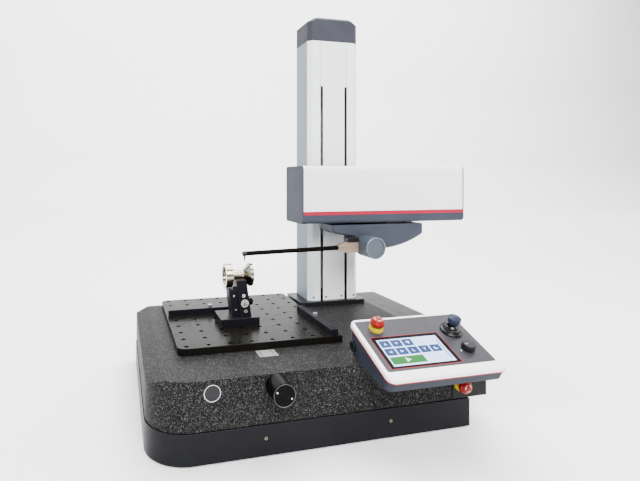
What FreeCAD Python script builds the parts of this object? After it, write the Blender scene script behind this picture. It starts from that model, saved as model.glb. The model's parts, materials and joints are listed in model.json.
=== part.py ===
import FreeCAD, Part
import math
import os
import Sketcher
from FreeCAD import Placement, Rotation, Vector

# Contour measuring machine: a granite plate on a sheet-steel base carries a column, a
# height-adjustable drive unit with its probe, a sliding hole plate and an operator panel.
# All sizes are millimetres. While modelling, X runs right from the left side of the base,
# Y runs back from its front and Z runs up from the table that it stands on.

SIZES = {
    # row origin, the middle of the whole machine's box at table level
    "origin_from_left": 476.75, "origin_from_front": 228.46,
    # base pan, its feet and the rubber supports of the stone
    "base_top": 64, "base_sheet": 3,
    "base_corner_radius": 92, "foot_radius": 28, "foot_show": 3, "foot_inset": 90,
    "support_radius": 34,
    # stone plate
    "stone_inset": 2, "stone_gap": 1.5, "stone_length": 706, "stone_depth": 571,
    "stone_height": 98.5, "stone_corner_radius": 90, "bevel_width": 33, "bevel_drop": 17,
    "stop_box_depth": 60, "stop_box_overlap": 44, "plug_radius": 16.8, "plug_depth": 9,
    "plug_show": 1.2, "plug_rim": 2.4, "plug_from_left": 126, "plug_height": 138,
    "scale_width": 21.3, "scale_length": 38, "scale_thick": 0.6, "scale_from_left": 249,
    "scale_from_plate": 5, "scale_seam": 0.4,
    # side housing with the electronics
    "housing_width": 93.5, "housing_front": 120,
    "housing_bottom": 20, "housing_sheet": 2.5, "housing_edge": 3, "back_panel_thick": 2,
    "inlet_width": 48, "inlet_height": 28, "inlet_up": 14, "inlet_rim": 4,
    "socket_rise": 3, "socket_radius": 9, "socket_spread": 22, "socket_up": 64,
    "vent_inset": 14, "vent_up": 92, "vent_slit": 3, "vent_rise": 32, "vent_count": 5,
    # emergency stops
    "stop_box_width": 88, "stop_box_height": 84, "stop_box_sheet": 2.5, "stop_box_up": 3,
    "stop_radius": 15, "stop_collar_radius": 15.5, "stop_collar_height": 9,
    "collar_land": 4, "collar_taper": 2.5, "stop_head_gap": 6, "stop_head_height": 14,
    "head_land": 5, "head_shoulder": 5, "head_crown": 2.4, "stop_stem_radius": 6,
    "stop_from_box_left": 19, "stop_height": 99, "stop_stem_below": 14,
    # hole plate with its stop bars
    "plate_length": 390, "plate_depth": 430, "plate_thick": 15.8, "plate_from_left": 76,
    "plate_from_front": 135, "plate_corner_radius": 18, "plate_edge": 0.8,
    "grid_pitch": 50, "grid_columns": 8, "grid_rows": 9, "grid_margin_x": 20,
    "grid_margin_y": 15, "grid_hole_radius": 4.4, "bar_width": 18, "bar_height": 16,
    "rear_bar_length": 215, "rear_bar_inset": 5, "rear_bar_row": 5,
    "side_bar_length": 223, "rear_screw_column": 2, "side_screw_row": 2,
    "bar_screw_radius": 5.5, "bar_screw_height": 8,
    # table slide: keys, spindle, nut, knob
    "slide_gap": 0.2, "key_width": 24, "key_height": 12, "key_inset": 60, "key_run": 40,
    "key_clearance": 0.3, "table_travel": 10, "spindle_radius": 6, "fit_clearance": 0.05,
    "nut_width": 34, "nut_depth": 30, "nut_from_front": 250, "pocket_room": 2.5,
    "bush_radius": 11, "bush_length": 18, "bush_inset": 6, "spindle_end_gap": 2,
    "knob_radius": 23, "knob_length": 50, "knob_gap": 0.8, "knob_from_left": 256,
    "knob_height": 141, "knob_edge": 1.5, "knob_pin_x": 8, "knob_pin_z": 5,
    "knob_pin_radius": 1.8, "knob_pin_depth": 1,
    # clamping fixture and the polished workpiece in it
    "fixture_length": 100, "fixture_depth": 87, "fixture_height": 20,
    "fixture_from_left": 198, "fixture_from_front": 260, "post_width": 27,
    "post_height": 92, "post_lean": 13, "post_depth": 58, "post_from_left": 56,
    "post_from_front": 17, "jaw_width": 21, "jaw_drop": 26, "jaw_setback": 8,
    "post_screw_radius": 4.2, "post_screw_show": 3, "post_screw_spread": 19.8,
    "jaw_screw_radius": 2.4, "jaw_screw_height": 16, "jaw_screw_pitch": 36,
    "disc_radius": 10, "disc_thick": 3, "disc_height": 33, "disc_slot": 2.2,
    "thumb_radius": 9, "thumb_length": 12, "thumb_height": 30, "thumb_stem_radius": 3,
    "thumb_reach": 2, "work_from_front": 318, "work_height": 118.5, "tube_radius": 13,
    "tube_bore": 9, "flange_from_left": 218.5, "flange_thick": 18, "flange_radius": 31,
    "flange_recess": 5, "flange_recess_radius": 23, "cone_from_left": 268.5,
    "cone_wall": 3, "rim_radius": 30.5, "rim_land": 7.5, "rim_end": 291.5,
    # column with its foot plate, cover and cap
    "column_from_left": 514, "column_from_front": 459.5, "column_width": 166,
    "column_depth": 108, "column_height": 800, "column_wall": 5, "column_radius": 10,
    "foot_plate_thick": 13.5, "foot_plate_left": 32, "foot_plate_right": 17,
    "foot_plate_front": 16.5, "foot_plate_back": 5.5,
    "cover_width": 89, "cover_thick": 4, "slot_width": 8.6, "slot_top": 838.6,
    "cap_height": 74, "cap_bevel_width": 22, "cap_bevel_drop": 14, "cap_edge": 7,
    "cap_wall": 4, "screw_radius": 3.2, "screw_show": 1.5, "pan_screw_left": 234,
    "pan_screw_right": 511, "pan_screw_height": 38, "pan_side_screw": 320,
    "column_screw_inset": 16, "cover_screw_inset": 57, "column_screw_height": 10,
    # lift: rails, carriage, spindle, motor
    "rail_width": 15, "rail_height": 12, "rail_spacing": 96, "rail_end_gap": 12,
    "carriage_height": 132, "carriage_thick": 14, "block_width": 34, "block_height": 44,
    "grip_depth": 8, "web_thick": 5, "lift_spindle_radius": 8, "lift_nut_radius": 18,
    "lift_nut_length": 60, "bearing_thick": 12, "bearing_size": 46, "motor_size": 57,
    "motor_length": 44, "motor_corner": 5, "motor_boss": 3, "lift_axis_from_front": 44,
    # drive unit
    "drive_from_left": 438, "drive_length": 517, "drive_from_front": 320,
    "drive_depth": 130, "drive_bottom": 427, "drive_height": 161, "drive_sheet": 4,
    "drive_radius": 11, "trough_height": 24, "stripe_height": 10, "stripe_proud": 0.4,
    "end_cap_thick": 4, "end_cap_back_radius": 9, "frame_plate": 6, "frame_inset": 2.5,
    "frame_round": 5, "rail_bar_depth": 36, "rail_bar_height": 50,
    "rail_bar_from_front": 62, "rail_bar_above": 68, "bracket_thick": 14,
    "bracket_setback": 8, "bracket_low": 28, "bracket_tall": 112,
    "traverse_spindle_radius": 5, "traverse_spindle_from_front": 26,
    "traverse_motor_size": 42, "traverse_motor_length": 34, "travel_left": 12,
    "travel_right": 128, "travel_spare": 2,
    # probe housing below the drive unit
    "carriage_length": 150, "carriage_left": 164, "carriage_wall": 14,
    "traverse_nut_radius": 13, "traverse_nut_length": 40, "neck_depth": 34,
    "neck_length": 110, "running_gap": 0.3, "pod_from_left": 533, "pod_length": 289,
    "pod_from_front": 333, "pod_depth": 90, "pod_gap": 6, "pod_nose_in": 2,
    "pod_nose_drop": 12, "pod_chin_in": 16, "pod_chin_drop": 25, "pod_chin_radius": 15,
    "pod_throat_in": 66, "pod_throat_drop": 34.6, "pod_belly_in": 123,
    "pod_belly_drop": 64, "pod_low_in": 166, "pod_low_drop": 70.5, "pod_belly_radius": 95,
    "pod_tail_drop": 32, "pod_tail_radius": 290, "pod_edge": 4,
    "boss_radius": 24, "boss_length": 60, "pivot_from_left": 631, "pivot_height": 362,
    "hub_radius": 29.8, "hub_front": 265, "hub_length": 67.3, "hub_edge": 2.2,
    "hub_dish": 2, "hub_rim": 5, "pivot_radius": 8, "pivot_length": 46,
    # probe arm
    "arm_droop": 1.3, "arm_from_front": 318, "arm_radius": 5.5, "arm_tip_radius": 4,
    "arm_reach": 357.5,
    "clamp_length": 60, "clamp_height": 30, "clamp_tip_height": 15, "clamp_depth": 18,
    "clamp_straight": 35, "clamp_slit": 1.2, "mount_length": 34, "mount_height": 12,
    "mount_depth": 26, "arm_grip": 20, "ferrule_length": 11, "ferrule_radius": 5.6,
    "stylus_radius": 0.9, "stylus_drop": 23, "stylus_tip_length": 5,
    "stylus_tip_radius": 0.25,
    # operator panel, measured along its sloping face
    "panel_from_left": 438.2, "panel_from_front": -113.3, "panel_height": 167.6,
    "panel_tilt": 21.8, "panel_width": 267, "panel_slope": 178, "panel_corner": 17,
    "shell_inset": 1.2, "shell_front_in": 3.7, "shell_front_drop": 20.8,
    "shell_back_in": 28.7, "shell_back_drop": 51.6, "shell_wall": 14, "shell_hollow": 16,
    "seal_thick": 1.6, "seal_proud": 0.5, "bezel_thick": 8, "bezel_round": 2.6,
    "face_left": 8.5, "face_right": 13.5, "face_front": 22.5, "face_back": 7.1,
    "face_corner": 5, "face_thick": 1.8, "screen_left": 21, "screen_front": 30,
    "screen_width": 157, "screen_depth": 87, "screen_thick": 2, "control_clearance": 0.3,
    "panel_stop_x": 47, "panel_stop_y": 143.5, "panel_socket_y": 141,
    "panel_socket_drop": 29, "panel_socket_radius": 10.5, "panel_socket_length": 4,
    "panel_socket_rim": 3, "panel_socket_deep": 2.5, "joystick_x": 216,
    "joystick_y": 118.4, "boot_radius": 23.5, "boot_height": 5, "boot_edge": 1.5,
    "dome_radius": 17, "dome_lift": 2, "dome_depth": 9, "stick_radius": 5.5,
    "stick_height": 21, "stick_slot": 11.5, "stick_cap_radius": 13.6,
    "stick_cap_height": 15.5, "stick_cap_edge": 2.5, "stick_cap_rise": 4,
    "bellows_radius": 11, "bellows_step": 1.6,
    "bellows_count": 2, "stick_clearance": 0.5, "dial_x": 215.5, "dial_y": 61.8,
    "dial_radius": 12.9, "dial_height": 14, "dial_edge": 1, "dial_stem_radius": 3,
    "bracket_sheet": 3, "bracket_width": 170, "bracket_from_left": 38.5,
    "bracket_back": 60, "bracket_reach": 66, "bracket_drop": 11.5,
    "bracket_rib_from_front": 34, "bracket_rib_depth": 10, "bracket_rib_front": 6.1,
    "bracket_rib_back": 7.8,
}


class Size:
    """A number together with the spreadsheet formula that it comes from."""

    def __init__(self, formula, value):
        self.formula = formula
        self.value = value

    def joined(self, sign, other, value):
        return Size("(%s %s %s)" % (self.formula, sign, other.formula), value)

    def __add__(self, other):
        other = as_size(other)
        return self.joined("+", other, self.value + other.value)

    def __radd__(self, other):
        return as_size(other) + self

    def __sub__(self, other):
        other = as_size(other)
        return self.joined("-", other, self.value - other.value)

    def __rsub__(self, other):
        return as_size(other) - self

    def __mul__(self, other):
        other = as_size(other)
        return self.joined("*", other, self.value * other.value)

    def __rmul__(self, other):
        return as_size(other) * self

    def __truediv__(self, other):
        other = as_size(other)
        return self.joined("/", other, self.value / other.value)

    def __neg__(self):
        return as_size(0) - self


def as_size(number):
    """Give a plain number the form of a size."""
    if isinstance(number, Size):
        return number
    return Size("(%r)" % float(number), float(number))


class Sheet:
    """The document's spreadsheet of driving sizes, read as attributes."""

    def __init__(self, doc):
        self.cells = doc.addObject("Spreadsheet::Sheet", "Sizes")
        for row, (alias, number) in enumerate(SIZES.items(), start=1):
            self.cells.set("A%d" % row, alias)
            self.cells.set("B%d" % row, str(number))
            self.cells.setAlias("B%d" % row, alias)

    def __getattr__(self, alias):
        return Size("Sizes." + alias, float(SIZES[alias]))


doc = FreeCAD.newDocument("contour_measuring_machine")
s = Sheet(doc)
doc.recompute()
nodes = []

XY, XZ, YZ = "XY_Plane", "XZ_Plane", "YZ_Plane"


# modelling helpers

def bind(target, prop, size):
    """Tie one property of an object to its formula."""
    target.setExpression(prop, as_size(size).formula)


def new_body(label):
    """Start a sub-part, which is exported under its label."""
    body = doc.addObject("PartDesign::Body", label)
    body.Label = label
    nodes.append(body)
    return body


def place(target, x, y, z, axis=None, angle=None):
    """Seat a sub-part in the machine, turned about an axis where one is given."""
    if axis is not None:
        target.Placement = Placement(Vector(), Rotation(Vector(*axis), 5))
        bind(target, "Placement.Rotation.Angle", angle)
    bind(target, "Placement.Base.x", x - s.origin_from_left)
    bind(target, "Placement.Base.y", y - s.origin_from_front)
    bind(target, "Placement.Base.z", as_size(z))


def sketch_on(body, plane, offset=0):
    """Attach a sketch to one of the body's own planes, offset along the plane's normal."""
    sketch = body.newObject("Sketcher::SketchObject", body.Label + "_sketch")
    support = [item for item in body.Origin.OriginFeatures if item.Role == plane][0]
    sketch.AttachmentSupport = [(support, "")]
    sketch.MapMode = "FlatFace"
    bind(sketch, "AttachmentOffset.Base.z", offset)
    return sketch


def pin_point(sketch, geometry, end, x, y):
    """Hold a point of a sketch at a bound distance from the sketch's origin."""
    for kind, size in (("DistanceX", as_size(x)), ("DistanceY", as_size(y))):
        constraint = sketch.addConstraint(
            Sketcher.Constraint(kind, -1, 1, geometry, end, size.value))
        sketch.setExpression("Constraints[%d]" % constraint, size.formula)


def outline(sketch, points, closing_radius=None):
    """Draw a closed outline. A point with a third entry is reached by an arc of that radius,
    which bulges to the right of the way round, or to the left where it is negative. The
    first point is reached by an arc where a closing radius is given."""
    if closing_radius is not None:
        points = [points[0] + (closing_radius,)] + points[1:]
    points = [tuple(as_size(item) for item in point) for point in points]
    count = len(points)
    first = sketch.GeometryCount
    ends = []
    for index, point in enumerate(points):
        after = points[(index + 1) % count]
        start = Vector(point[0].value, point[1].value, 0)
        end = Vector(after[0].value, after[1].value, 0)
        if len(after) == 3:
            edge = Part.Arc(start, arc_middle(start, end, after[2].value), end)
        else:
            edge = Part.LineSegment(start, end)
        added = sketch.addGeometry(edge, False)
        ahead = sketch.getPoint(added, 1).distanceToPoint(start) < 1e-6
        ends.append((1, 2) if ahead else (2, 1))
    for index, point in enumerate(points):
        here, following = first + index, first + (index + 1) % count
        sketch.addConstraint(Sketcher.Constraint(
            "Coincident", here, ends[index][1], following, ends[(index + 1) % count][0]))
        pin_point(sketch, here, ends[index][0], point[0], point[1])
        after = points[(index + 1) % count]
        if len(after) == 3:
            radius = after[2] if after[2].value > 0 else -after[2]
            hold_radius(sketch, here, radius)
    return sketch


def arc_middle(start, end, radius):
    """The point halfway along the shorter arc between two points."""
    chord = end - start
    rise = abs(radius) - math.sqrt(max(radius ** 2 - (chord.Length / 2) ** 2, 0))
    right = Vector(chord.y, -chord.x, 0).normalize()
    return (start + end) * 0.5 + right * math.copysign(rise, radius)


def hold_radius(sketch, geometry, radius):
    """Bind the radius of a circle or an arc."""
    held = sketch.addConstraint(Sketcher.Constraint("Radius", geometry, radius.value))
    sketch.setExpression("Constraints[%d]" % held, radius.formula)


def rectangle(sketch, x, y, width, height):
    """Draw a rectangle from its lower left corner."""
    x, y = as_size(x), as_size(y)
    return outline(sketch, [(x, y), (x + width, y), (x + width, y + height), (x, y + height)])


def rounded_rectangle(sketch, x, y, width, height, radius):
    """Draw a rectangle whose four corners are arcs."""
    x, y = as_size(x), as_size(y)
    right, top = x + width, y + height
    return outline(sketch, [(x + radius, y, radius), (right - radius, y),
                            (right, y + radius, radius), (right, top - radius),
                            (right - radius, top, radius), (x + radius, top),
                            (x, top - radius, radius), (x, y + radius)])


def circle(sketch, x, y, radius):
    """Draw a circle about a bound centre."""
    x, y, radius = as_size(x), as_size(y), as_size(radius)
    index = sketch.addGeometry(
        Part.Circle(Vector(x.value, y.value, 0), Vector(0, 0, 1), radius.value), False)
    pin_point(sketch, index, 3, x, y)
    hold_radius(sketch, index, radius)
    return sketch


def grow(body, sketch, length, back=False, middle=False):
    """Pad a sketch along its normal, or to the back, or evenly to both sides."""
    feature = body.newObject("PartDesign::Pad", body.Label + "_pad")
    feature.Profile = sketch
    feature.Reversed = back
    feature.SideType = "Symmetric" if middle else "One side"
    bind(feature, "Length", length)
    doc.recompute()
    return feature


def cut(body, sketch, length=None, back=False, middle=False):
    """Pocket a sketch against its normal, or to the back. No length cuts through all."""
    before = body.Shape.Volume
    feature = body.newObject("PartDesign::Pocket", body.Label + "_pocket")
    feature.Profile = sketch
    feature.Reversed = back
    feature.SideType = "Symmetric" if middle else "One side"
    if length is None:
        feature.Type = "ThroughAll"
    else:
        bind(feature, "Length", length)
    doc.recompute()
    if body.Shape.Volume >= before:
        raise RuntimeError(body.Label + ": a pocket cuts nothing")
    return feature


def revolve(body, sketch, axis="V_Axis"):
    """Turn a sketch a full turn about one of its own axes."""
    feature = body.newObject("PartDesign::Revolution", body.Label + "_revolution")
    feature.Profile = sketch
    feature.ReferenceAxis = (sketch, [axis])
    feature.Angle = 360
    doc.recompute()
    return feature


def edges_where(body, test):
    """Names of the straight or curved edges that a test on the edge accepts."""
    found = enumerate(body.Shape.Edges, start=1)
    return ["Edge%d" % index for index, edge in found if test(edge)]


def soften(body, kind, size, test):
    """Fillet or chamfer the edges that a test accepts."""
    names = edges_where(body, test)
    if not names:
        raise RuntimeError(body.Label + ": no edge to soften")
    base = body.Tip
    feature = body.newObject("PartDesign::" + kind, body.Label + "_" + kind.lower())
    feature.Base = (base, names)
    bind(feature, "Radius" if kind == "Fillet" else "Size", size)
    doc.recompute()
    return feature


def at(value, target, tolerance=0.05):
    """Whether a coordinate lies at a size."""
    return abs(value - as_size(target).value) < tolerance


def along(edge, axis):
    """Whether a straight edge runs along an axis, given as X, Y or Z."""
    if edge.Curve.TypeId != "Part::GeomLine":
        return False
    return abs(getattr(edge.Curve.Direction, axis.lower())) > 0.999


def lies_flat(edge, z):
    """Whether a whole edge lies at one height."""
    return at(edge.BoundBox.ZMin, z) and at(edge.BoundBox.ZMax, z)


def repeat(body, feature, directions):
    """Repeat a feature in rows: each direction is (axis, length, count)."""
    if len(directions) == 1:
        pattern = body.newObject("PartDesign::LinearPattern", body.Label + "_row")
        pattern.Originals = [feature]
        set_row(pattern, body, *directions[0])
    else:
        pattern = body.newObject("PartDesign::MultiTransform", body.Label + "_grid")
        pattern.Originals = [feature]
        rows = []
        for direction in directions:
            row = body.newObject("PartDesign::LinearPattern", body.Label + "_row")
            set_row(row, body, *direction)
            rows.append(row)
        pattern.Transformations = rows
    body.Tip = pattern
    doc.recompute()
    return pattern


def set_row(pattern, body, axis, length, count):
    """Give a linear pattern its axis, overall length and count."""
    role = {"X": "X_Axis", "Y": "Y_Axis", "Z": "Z_Axis"}[axis]
    line = [item for item in body.Origin.OriginFeatures if item.Role == role][0]
    pattern.Direction = (line, [""])
    bind(pattern, "Length", length)
    bind(pattern, "Occurrences", count)


# places that several sub-parts share

base_floor_top = s.foot_show + s.base_sheet
stone_bottom = s.base_top + s.stone_gap
stone_top = stone_bottom + s.stone_height
stone_right = s.stone_inset + s.stone_length
base_length = stone_right
base_depth = s.stone_inset + s.stone_depth
housing_depth = base_depth - s.housing_front
plate_front = s.plate_from_front
plate_bottom = stone_top + s.slide_gap
plate_top = plate_bottom + s.plate_thick
key_lefts = (s.key_inset, s.plate_length - s.key_inset - s.key_width)
pocket_back = s.nut_from_front + s.nut_depth + s.pocket_room + s.table_travel
knob_back = s.stone_inset - s.knob_gap
stop_box_left = stone_right - s.stop_box_overlap
stop_box_bottom = s.base_top + s.stop_box_up
machine_stop_x = stop_box_left + s.stop_from_box_left
fixture_top = plate_top + s.fixture_height
post_left = s.fixture_from_left + s.post_from_left
post_front = s.fixture_from_front + s.post_from_front
column_bottom = stone_top + s.foot_plate_thick
column_top = column_bottom + s.column_height
column_middle = s.column_from_left + s.column_width / 2
column_back_wall = s.column_from_front + s.column_depth - s.column_wall
lift_axis_y = s.column_from_front + s.lift_axis_from_front
drive_back = s.drive_from_front + s.drive_depth
frame_front = s.drive_depth - s.frame_plate
right_bracket_left = s.drive_length - s.end_cap_thick - s.bracket_thick
rail_bar_middle = s.rail_bar_above + s.rail_bar_height / 2
traverse_motor_left = right_bracket_left - s.traverse_motor_length
neck_left = s.carriage_left + (s.carriage_length - s.neck_length) / 2
neck_front = s.rail_bar_from_front + (s.rail_bar_depth - s.neck_depth) / 2
pod_top = s.drive_bottom - s.pod_gap
bezel_top = s.seal_thick + s.bezel_thick
face_top = bezel_top - s.control_clearance
face_bottom = face_top - s.face_thick
tilt_cos = Size("cos(Sizes.panel_tilt)", math.cos(math.radians(s.panel_tilt.value)))
tilt_sin = Size("sin(Sizes.panel_tilt)", math.sin(math.radians(s.panel_tilt.value)))


# base

def base_pan():
    """Bent sheet pan: a flat floor and a skirt with one large front corner."""
    body = new_body("base_pan")
    grow(body, rectangle(sketch_on(body, XY), 0, 0, base_length, base_depth),
         s.base_top - s.foot_show)
    soften(body, "Fillet", s.base_corner_radius,
           lambda e: along(e, "Z") and at(e.BoundBox.XMin, 0) and at(e.BoundBox.YMin, 0))
    inside = sketch_on(body, XY, s.base_sheet)
    rounded_corner_rectangle(inside, s.base_sheet, s.base_sheet,
                             base_length - 2 * s.base_sheet, base_depth - 2 * s.base_sheet,
                             s.base_corner_radius - s.base_sheet)
    cut(body, inside, back=True)
    place(body, as_size(0), as_size(0), s.foot_show)


def rounded_corner_rectangle(sketch, x, y, width, depth, radius):
    """A rectangle whose lower left corner, the machine's front left one, is an arc."""
    return outline(sketch, [(x + width, y), (x + width, y + depth), (x, y + depth),
                            (x, y + radius), (x + radius, y, radius)])


def base_feet():
    """Four rubber feet pressed through the pan's floor."""
    body = new_body("base_feet")
    spacing_x = base_length - 2 * s.foot_inset
    spacing_y = base_depth - 2 * s.foot_inset
    foot = grow(body, circle(sketch_on(body, XY), s.foot_inset, s.foot_inset, s.foot_radius),
                s.foot_show)
    repeat(body, foot, [("X", spacing_x, 2), ("Y", spacing_y, 2)])
    place(body, as_size(0), as_size(0), 0)


def stone_supports():
    """Rubber blocks on the pan's floor that carry the stone."""
    body = new_body("stone_supports")
    spacing_x = base_length - 2 * s.foot_inset
    spacing_y = base_depth - 2 * s.foot_inset
    block = grow(body, circle(sketch_on(body, XY), s.foot_inset, s.foot_inset,
                              s.support_radius), stone_bottom - base_floor_top)
    repeat(body, block, [("X", spacing_x, 2), ("Y", spacing_y, 2)])
    place(body, as_size(0), as_size(0), base_floor_top)


def cover_screws():
    """Small screws of the pan, the column and its cover."""
    body = new_body("cover_screws")
    front = sketch_on(body, XZ, s.screw_show)
    for x in (s.pan_screw_left, s.pan_screw_right):
        circle(front, x, s.pan_screw_height, s.screw_radius)
    grow(body, front, s.screw_show, back=True)
    side = sketch_on(body, YZ, -s.screw_show)
    circle(side, s.pan_side_screw, s.pan_screw_height, s.screw_radius)
    grow(body, side, s.screw_show)
    column = sketch_on(body, XZ, s.screw_show - s.column_from_front)
    for inset in (s.column_screw_inset, s.cover_screw_inset):
        for x in (s.column_from_left + inset, s.column_from_left + s.column_width - inset):
            circle(column, x, column_bottom + s.column_screw_height, s.screw_radius)
    grow(body, column, s.screw_show, back=True)
    place(body, as_size(0), as_size(0), 0)


# stone

def granite_plate():
    """Granite plate with a bevelled left edge, the bore and slots of the table slide and a
    rebate for the emergency-stop box."""
    body = new_body("granite_plate")
    grow(body, rounded_corner_rectangle(sketch_on(body, XY), 0, 0, s.stone_length,
                                        s.stone_depth, s.stone_corner_radius), s.stone_height)
    bevel = sketch_on(body, XZ)
    outline(bevel, [(0, s.stone_height - s.bevel_drop), (s.bevel_width, s.stone_height),
                    (0, s.stone_height)])
    cut(body, bevel)
    rebate = sketch_on(body, XY)
    rectangle(rebate, s.stone_length - s.stop_box_overlap, 0, s.stop_box_overlap,
              s.stop_box_depth)
    cut(body, rebate, back=True)
    for key_left in key_lefts:
        groove = sketch_on(body, XZ, -(plate_front - s.stone_inset + s.key_run - s.table_travel
                                       - s.key_clearance))
        rectangle(groove, s.plate_from_left - s.stone_inset + key_left - s.key_clearance,
                  s.stone_height - s.key_height - s.key_clearance,
                  s.key_width + 2 * s.key_clearance, s.key_height + 2 * s.key_clearance)
        cut(body, groove, s.plate_depth - 2 * s.key_run + 2 * s.table_travel
            + 2 * s.key_clearance)
    pocket = sketch_on(body, XY, s.stone_height)
    rectangle(pocket, s.knob_from_left - s.stone_inset - s.nut_width / 2 - s.pocket_room,
              s.nut_from_front - s.stone_inset - s.pocket_room - s.table_travel,
              s.nut_width + 2 * s.pocket_room,
              s.nut_depth + 2 * s.pocket_room + 2 * s.table_travel)
    cut(body, pocket, stone_top - s.knob_height + s.nut_width / 2 + s.pocket_room)
    spindle_bore = sketch_on(body, XZ)
    circle(spindle_bore, s.knob_from_left - s.stone_inset, s.knob_height - stone_bottom,
           s.bush_radius)
    cut(body, spindle_bore, pocket_back - s.stone_inset + s.bush_length)
    plug_bore = sketch_on(body, XZ)
    circle(plug_bore, s.plug_from_left - s.stone_inset, s.plug_height - stone_bottom,
           s.plug_radius)
    cut(body, plug_bore, s.plug_depth)
    recess = sketch_on(body, XY, s.stone_height)
    rectangle(recess, s.scale_from_left - s.stone_inset,
              plate_front - s.stone_inset - s.scale_from_plate - s.scale_length,
              2 * s.scale_width + s.scale_seam, s.scale_length)
    cut(body, recess, s.scale_thick)
    place(body, s.stone_inset, s.stone_inset, stone_bottom)


def bore_plug():
    """Round plug with a raised rim, pressed into a blind bore in the stone's front."""
    body = new_body("bore_plug")
    profile = sketch_on(body, XY)
    outline(profile, [(0, 0), (s.plug_radius - s.plug_rim, 0),
                      (s.plug_radius - s.plug_rim, -s.plug_show), (s.plug_radius, -s.plug_show),
                      (s.plug_radius, s.plug_depth), (0, s.plug_depth)])
    revolve(body, profile)
    place(body, s.plug_from_left, s.stone_inset, s.plug_height)


def scale_plates():
    """Two inlaid scale plates, side by side in front of the sliding table."""
    body = new_body("scale_plates")
    for number in range(2):
        grow(body, rectangle(sketch_on(body, XY), number * (s.scale_width + s.scale_seam), 0,
                             s.scale_width, s.scale_length), s.scale_thick)
    place(body, s.scale_from_left, plate_front - s.scale_from_plate - s.scale_length,
          stone_top - s.scale_thick)


def side_housing():
    """Sheet-metal housing beside the stone, flush with its top and open to the back."""
    body = new_body("side_housing")
    height = stone_top - s.housing_bottom
    grow(body, rectangle(sketch_on(body, XY), 0, 0, s.housing_width, housing_depth), height)
    soften(body, "Fillet", s.housing_edge,
           lambda e: (along(e, "Y") or along(e, "Z")) and at(e.BoundBox.XMin, s.housing_width)
           and e.BoundBox.YMin < 1)
    inside = sketch_on(body, XZ, -s.housing_sheet)
    rectangle(inside, s.housing_sheet, s.housing_sheet, s.housing_width - 2 * s.housing_sheet,
              height - 2 * s.housing_sheet)
    cut(body, inside)
    place(body, stone_right, s.housing_front, s.housing_bottom)


def housing_back_panel():
    """Plate that closes the side housing, with a mains inlet, two sockets and a fan grille."""
    body = new_body("housing_back_panel")
    width = s.housing_width - 2 * s.housing_sheet
    height = stone_top - s.housing_bottom - 2 * s.housing_sheet
    grow(body, rectangle(sketch_on(body, XZ), 0, 0, width, height), s.back_panel_thick)
    inlet_x = (width - s.inlet_width) / 2
    grow(body, rectangle(sketch_on(body, XZ, -s.socket_rise), inlet_x, s.inlet_up,
                         s.inlet_width, s.inlet_height), s.socket_rise)
    mouth = sketch_on(body, XZ, -s.socket_rise)
    rectangle(mouth, inlet_x + s.inlet_rim, s.inlet_up + s.inlet_rim,
              s.inlet_width - 2 * s.inlet_rim, s.inlet_height - 2 * s.inlet_rim)
    cut(body, mouth, s.socket_rise, back=True)
    sockets = sketch_on(body, XZ, -s.socket_rise)
    for side in (-1, 1):
        circle(sockets, width / 2 + side * s.socket_spread, s.socket_up, s.socket_radius)
    grow(body, sockets, s.socket_rise)
    slit = sketch_on(body, XZ, s.back_panel_thick)
    rectangle(slit, s.vent_inset, s.vent_up, width - 2 * s.vent_inset, s.vent_slit)
    first = cut(body, slit)
    repeat(body, first, [("Z", s.vent_rise, s.vent_count)])
    place(body, stone_right + s.housing_sheet,
          s.housing_front + housing_depth - s.back_panel_thick,
          s.housing_bottom + s.housing_sheet)


# emergency stops

def stop_box():
    """Folded box at the front right corner that carries an emergency stop."""
    body = new_body("stop_box")
    depth = s.stop_box_depth + s.stone_inset - s.running_gap
    grow(body, rectangle(sketch_on(body, XY), 0, 0, s.stop_box_width, depth),
         s.stop_box_height)
    inside = sketch_on(body, XZ, -s.stop_box_sheet)
    rectangle(inside, s.stop_box_sheet, s.stop_box_sheet,
              s.stop_box_width - 2 * s.stop_box_sheet,
              s.stop_box_height - 2 * s.stop_box_sheet)
    cut(body, inside)
    hole = sketch_on(body, XZ)
    circle(hole, s.stop_from_box_left, s.stop_height - stop_box_bottom,
           s.stop_stem_radius + s.control_clearance)
    cut(body, hole, s.stop_box_sheet)
    place(body, stop_box_left + s.running_gap, as_size(0), stop_box_bottom)


def collar_profile(sketch):
    """Half section of a yellow collar round an emergency stop's stem."""
    bore = s.stop_stem_radius + s.control_clearance
    return outline(sketch, [(bore, 0), (s.stop_collar_radius, 0),
                            (s.stop_collar_radius, s.collar_land),
                            (s.stop_collar_radius - s.collar_taper, s.stop_collar_height),
                            (bore, s.stop_collar_height)])


def head_profile(sketch):
    """Half section of a mushroom head on its stem."""
    under = s.stop_collar_height + s.stop_head_gap
    top = under + s.stop_head_height
    return outline(sketch, [(0, -s.stop_stem_below), (s.stop_stem_radius, -s.stop_stem_below),
                            (s.stop_stem_radius, under), (s.stop_radius, under),
                            (s.stop_radius, under + s.head_land),
                            (s.stop_radius - s.head_shoulder, top - s.head_crown),
                            (0, top)])


def machine_stop_collar():
    """Yellow collar of the emergency stop on the base."""
    body = new_body("machine_stop_collar")
    revolve(body, collar_profile(sketch_on(body, XY)))
    place(body, machine_stop_x, as_size(0), s.stop_height, (1, 0, 0), as_size(180))


def machine_stop_button():
    """Red mushroom head of the emergency stop on the base."""
    body = new_body("machine_stop_button")
    revolve(body, head_profile(sketch_on(body, XY)))
    place(body, machine_stop_x, as_size(0), s.stop_height, (1, 0, 0), as_size(180))


# hole plate and what is bolted to it

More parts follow.
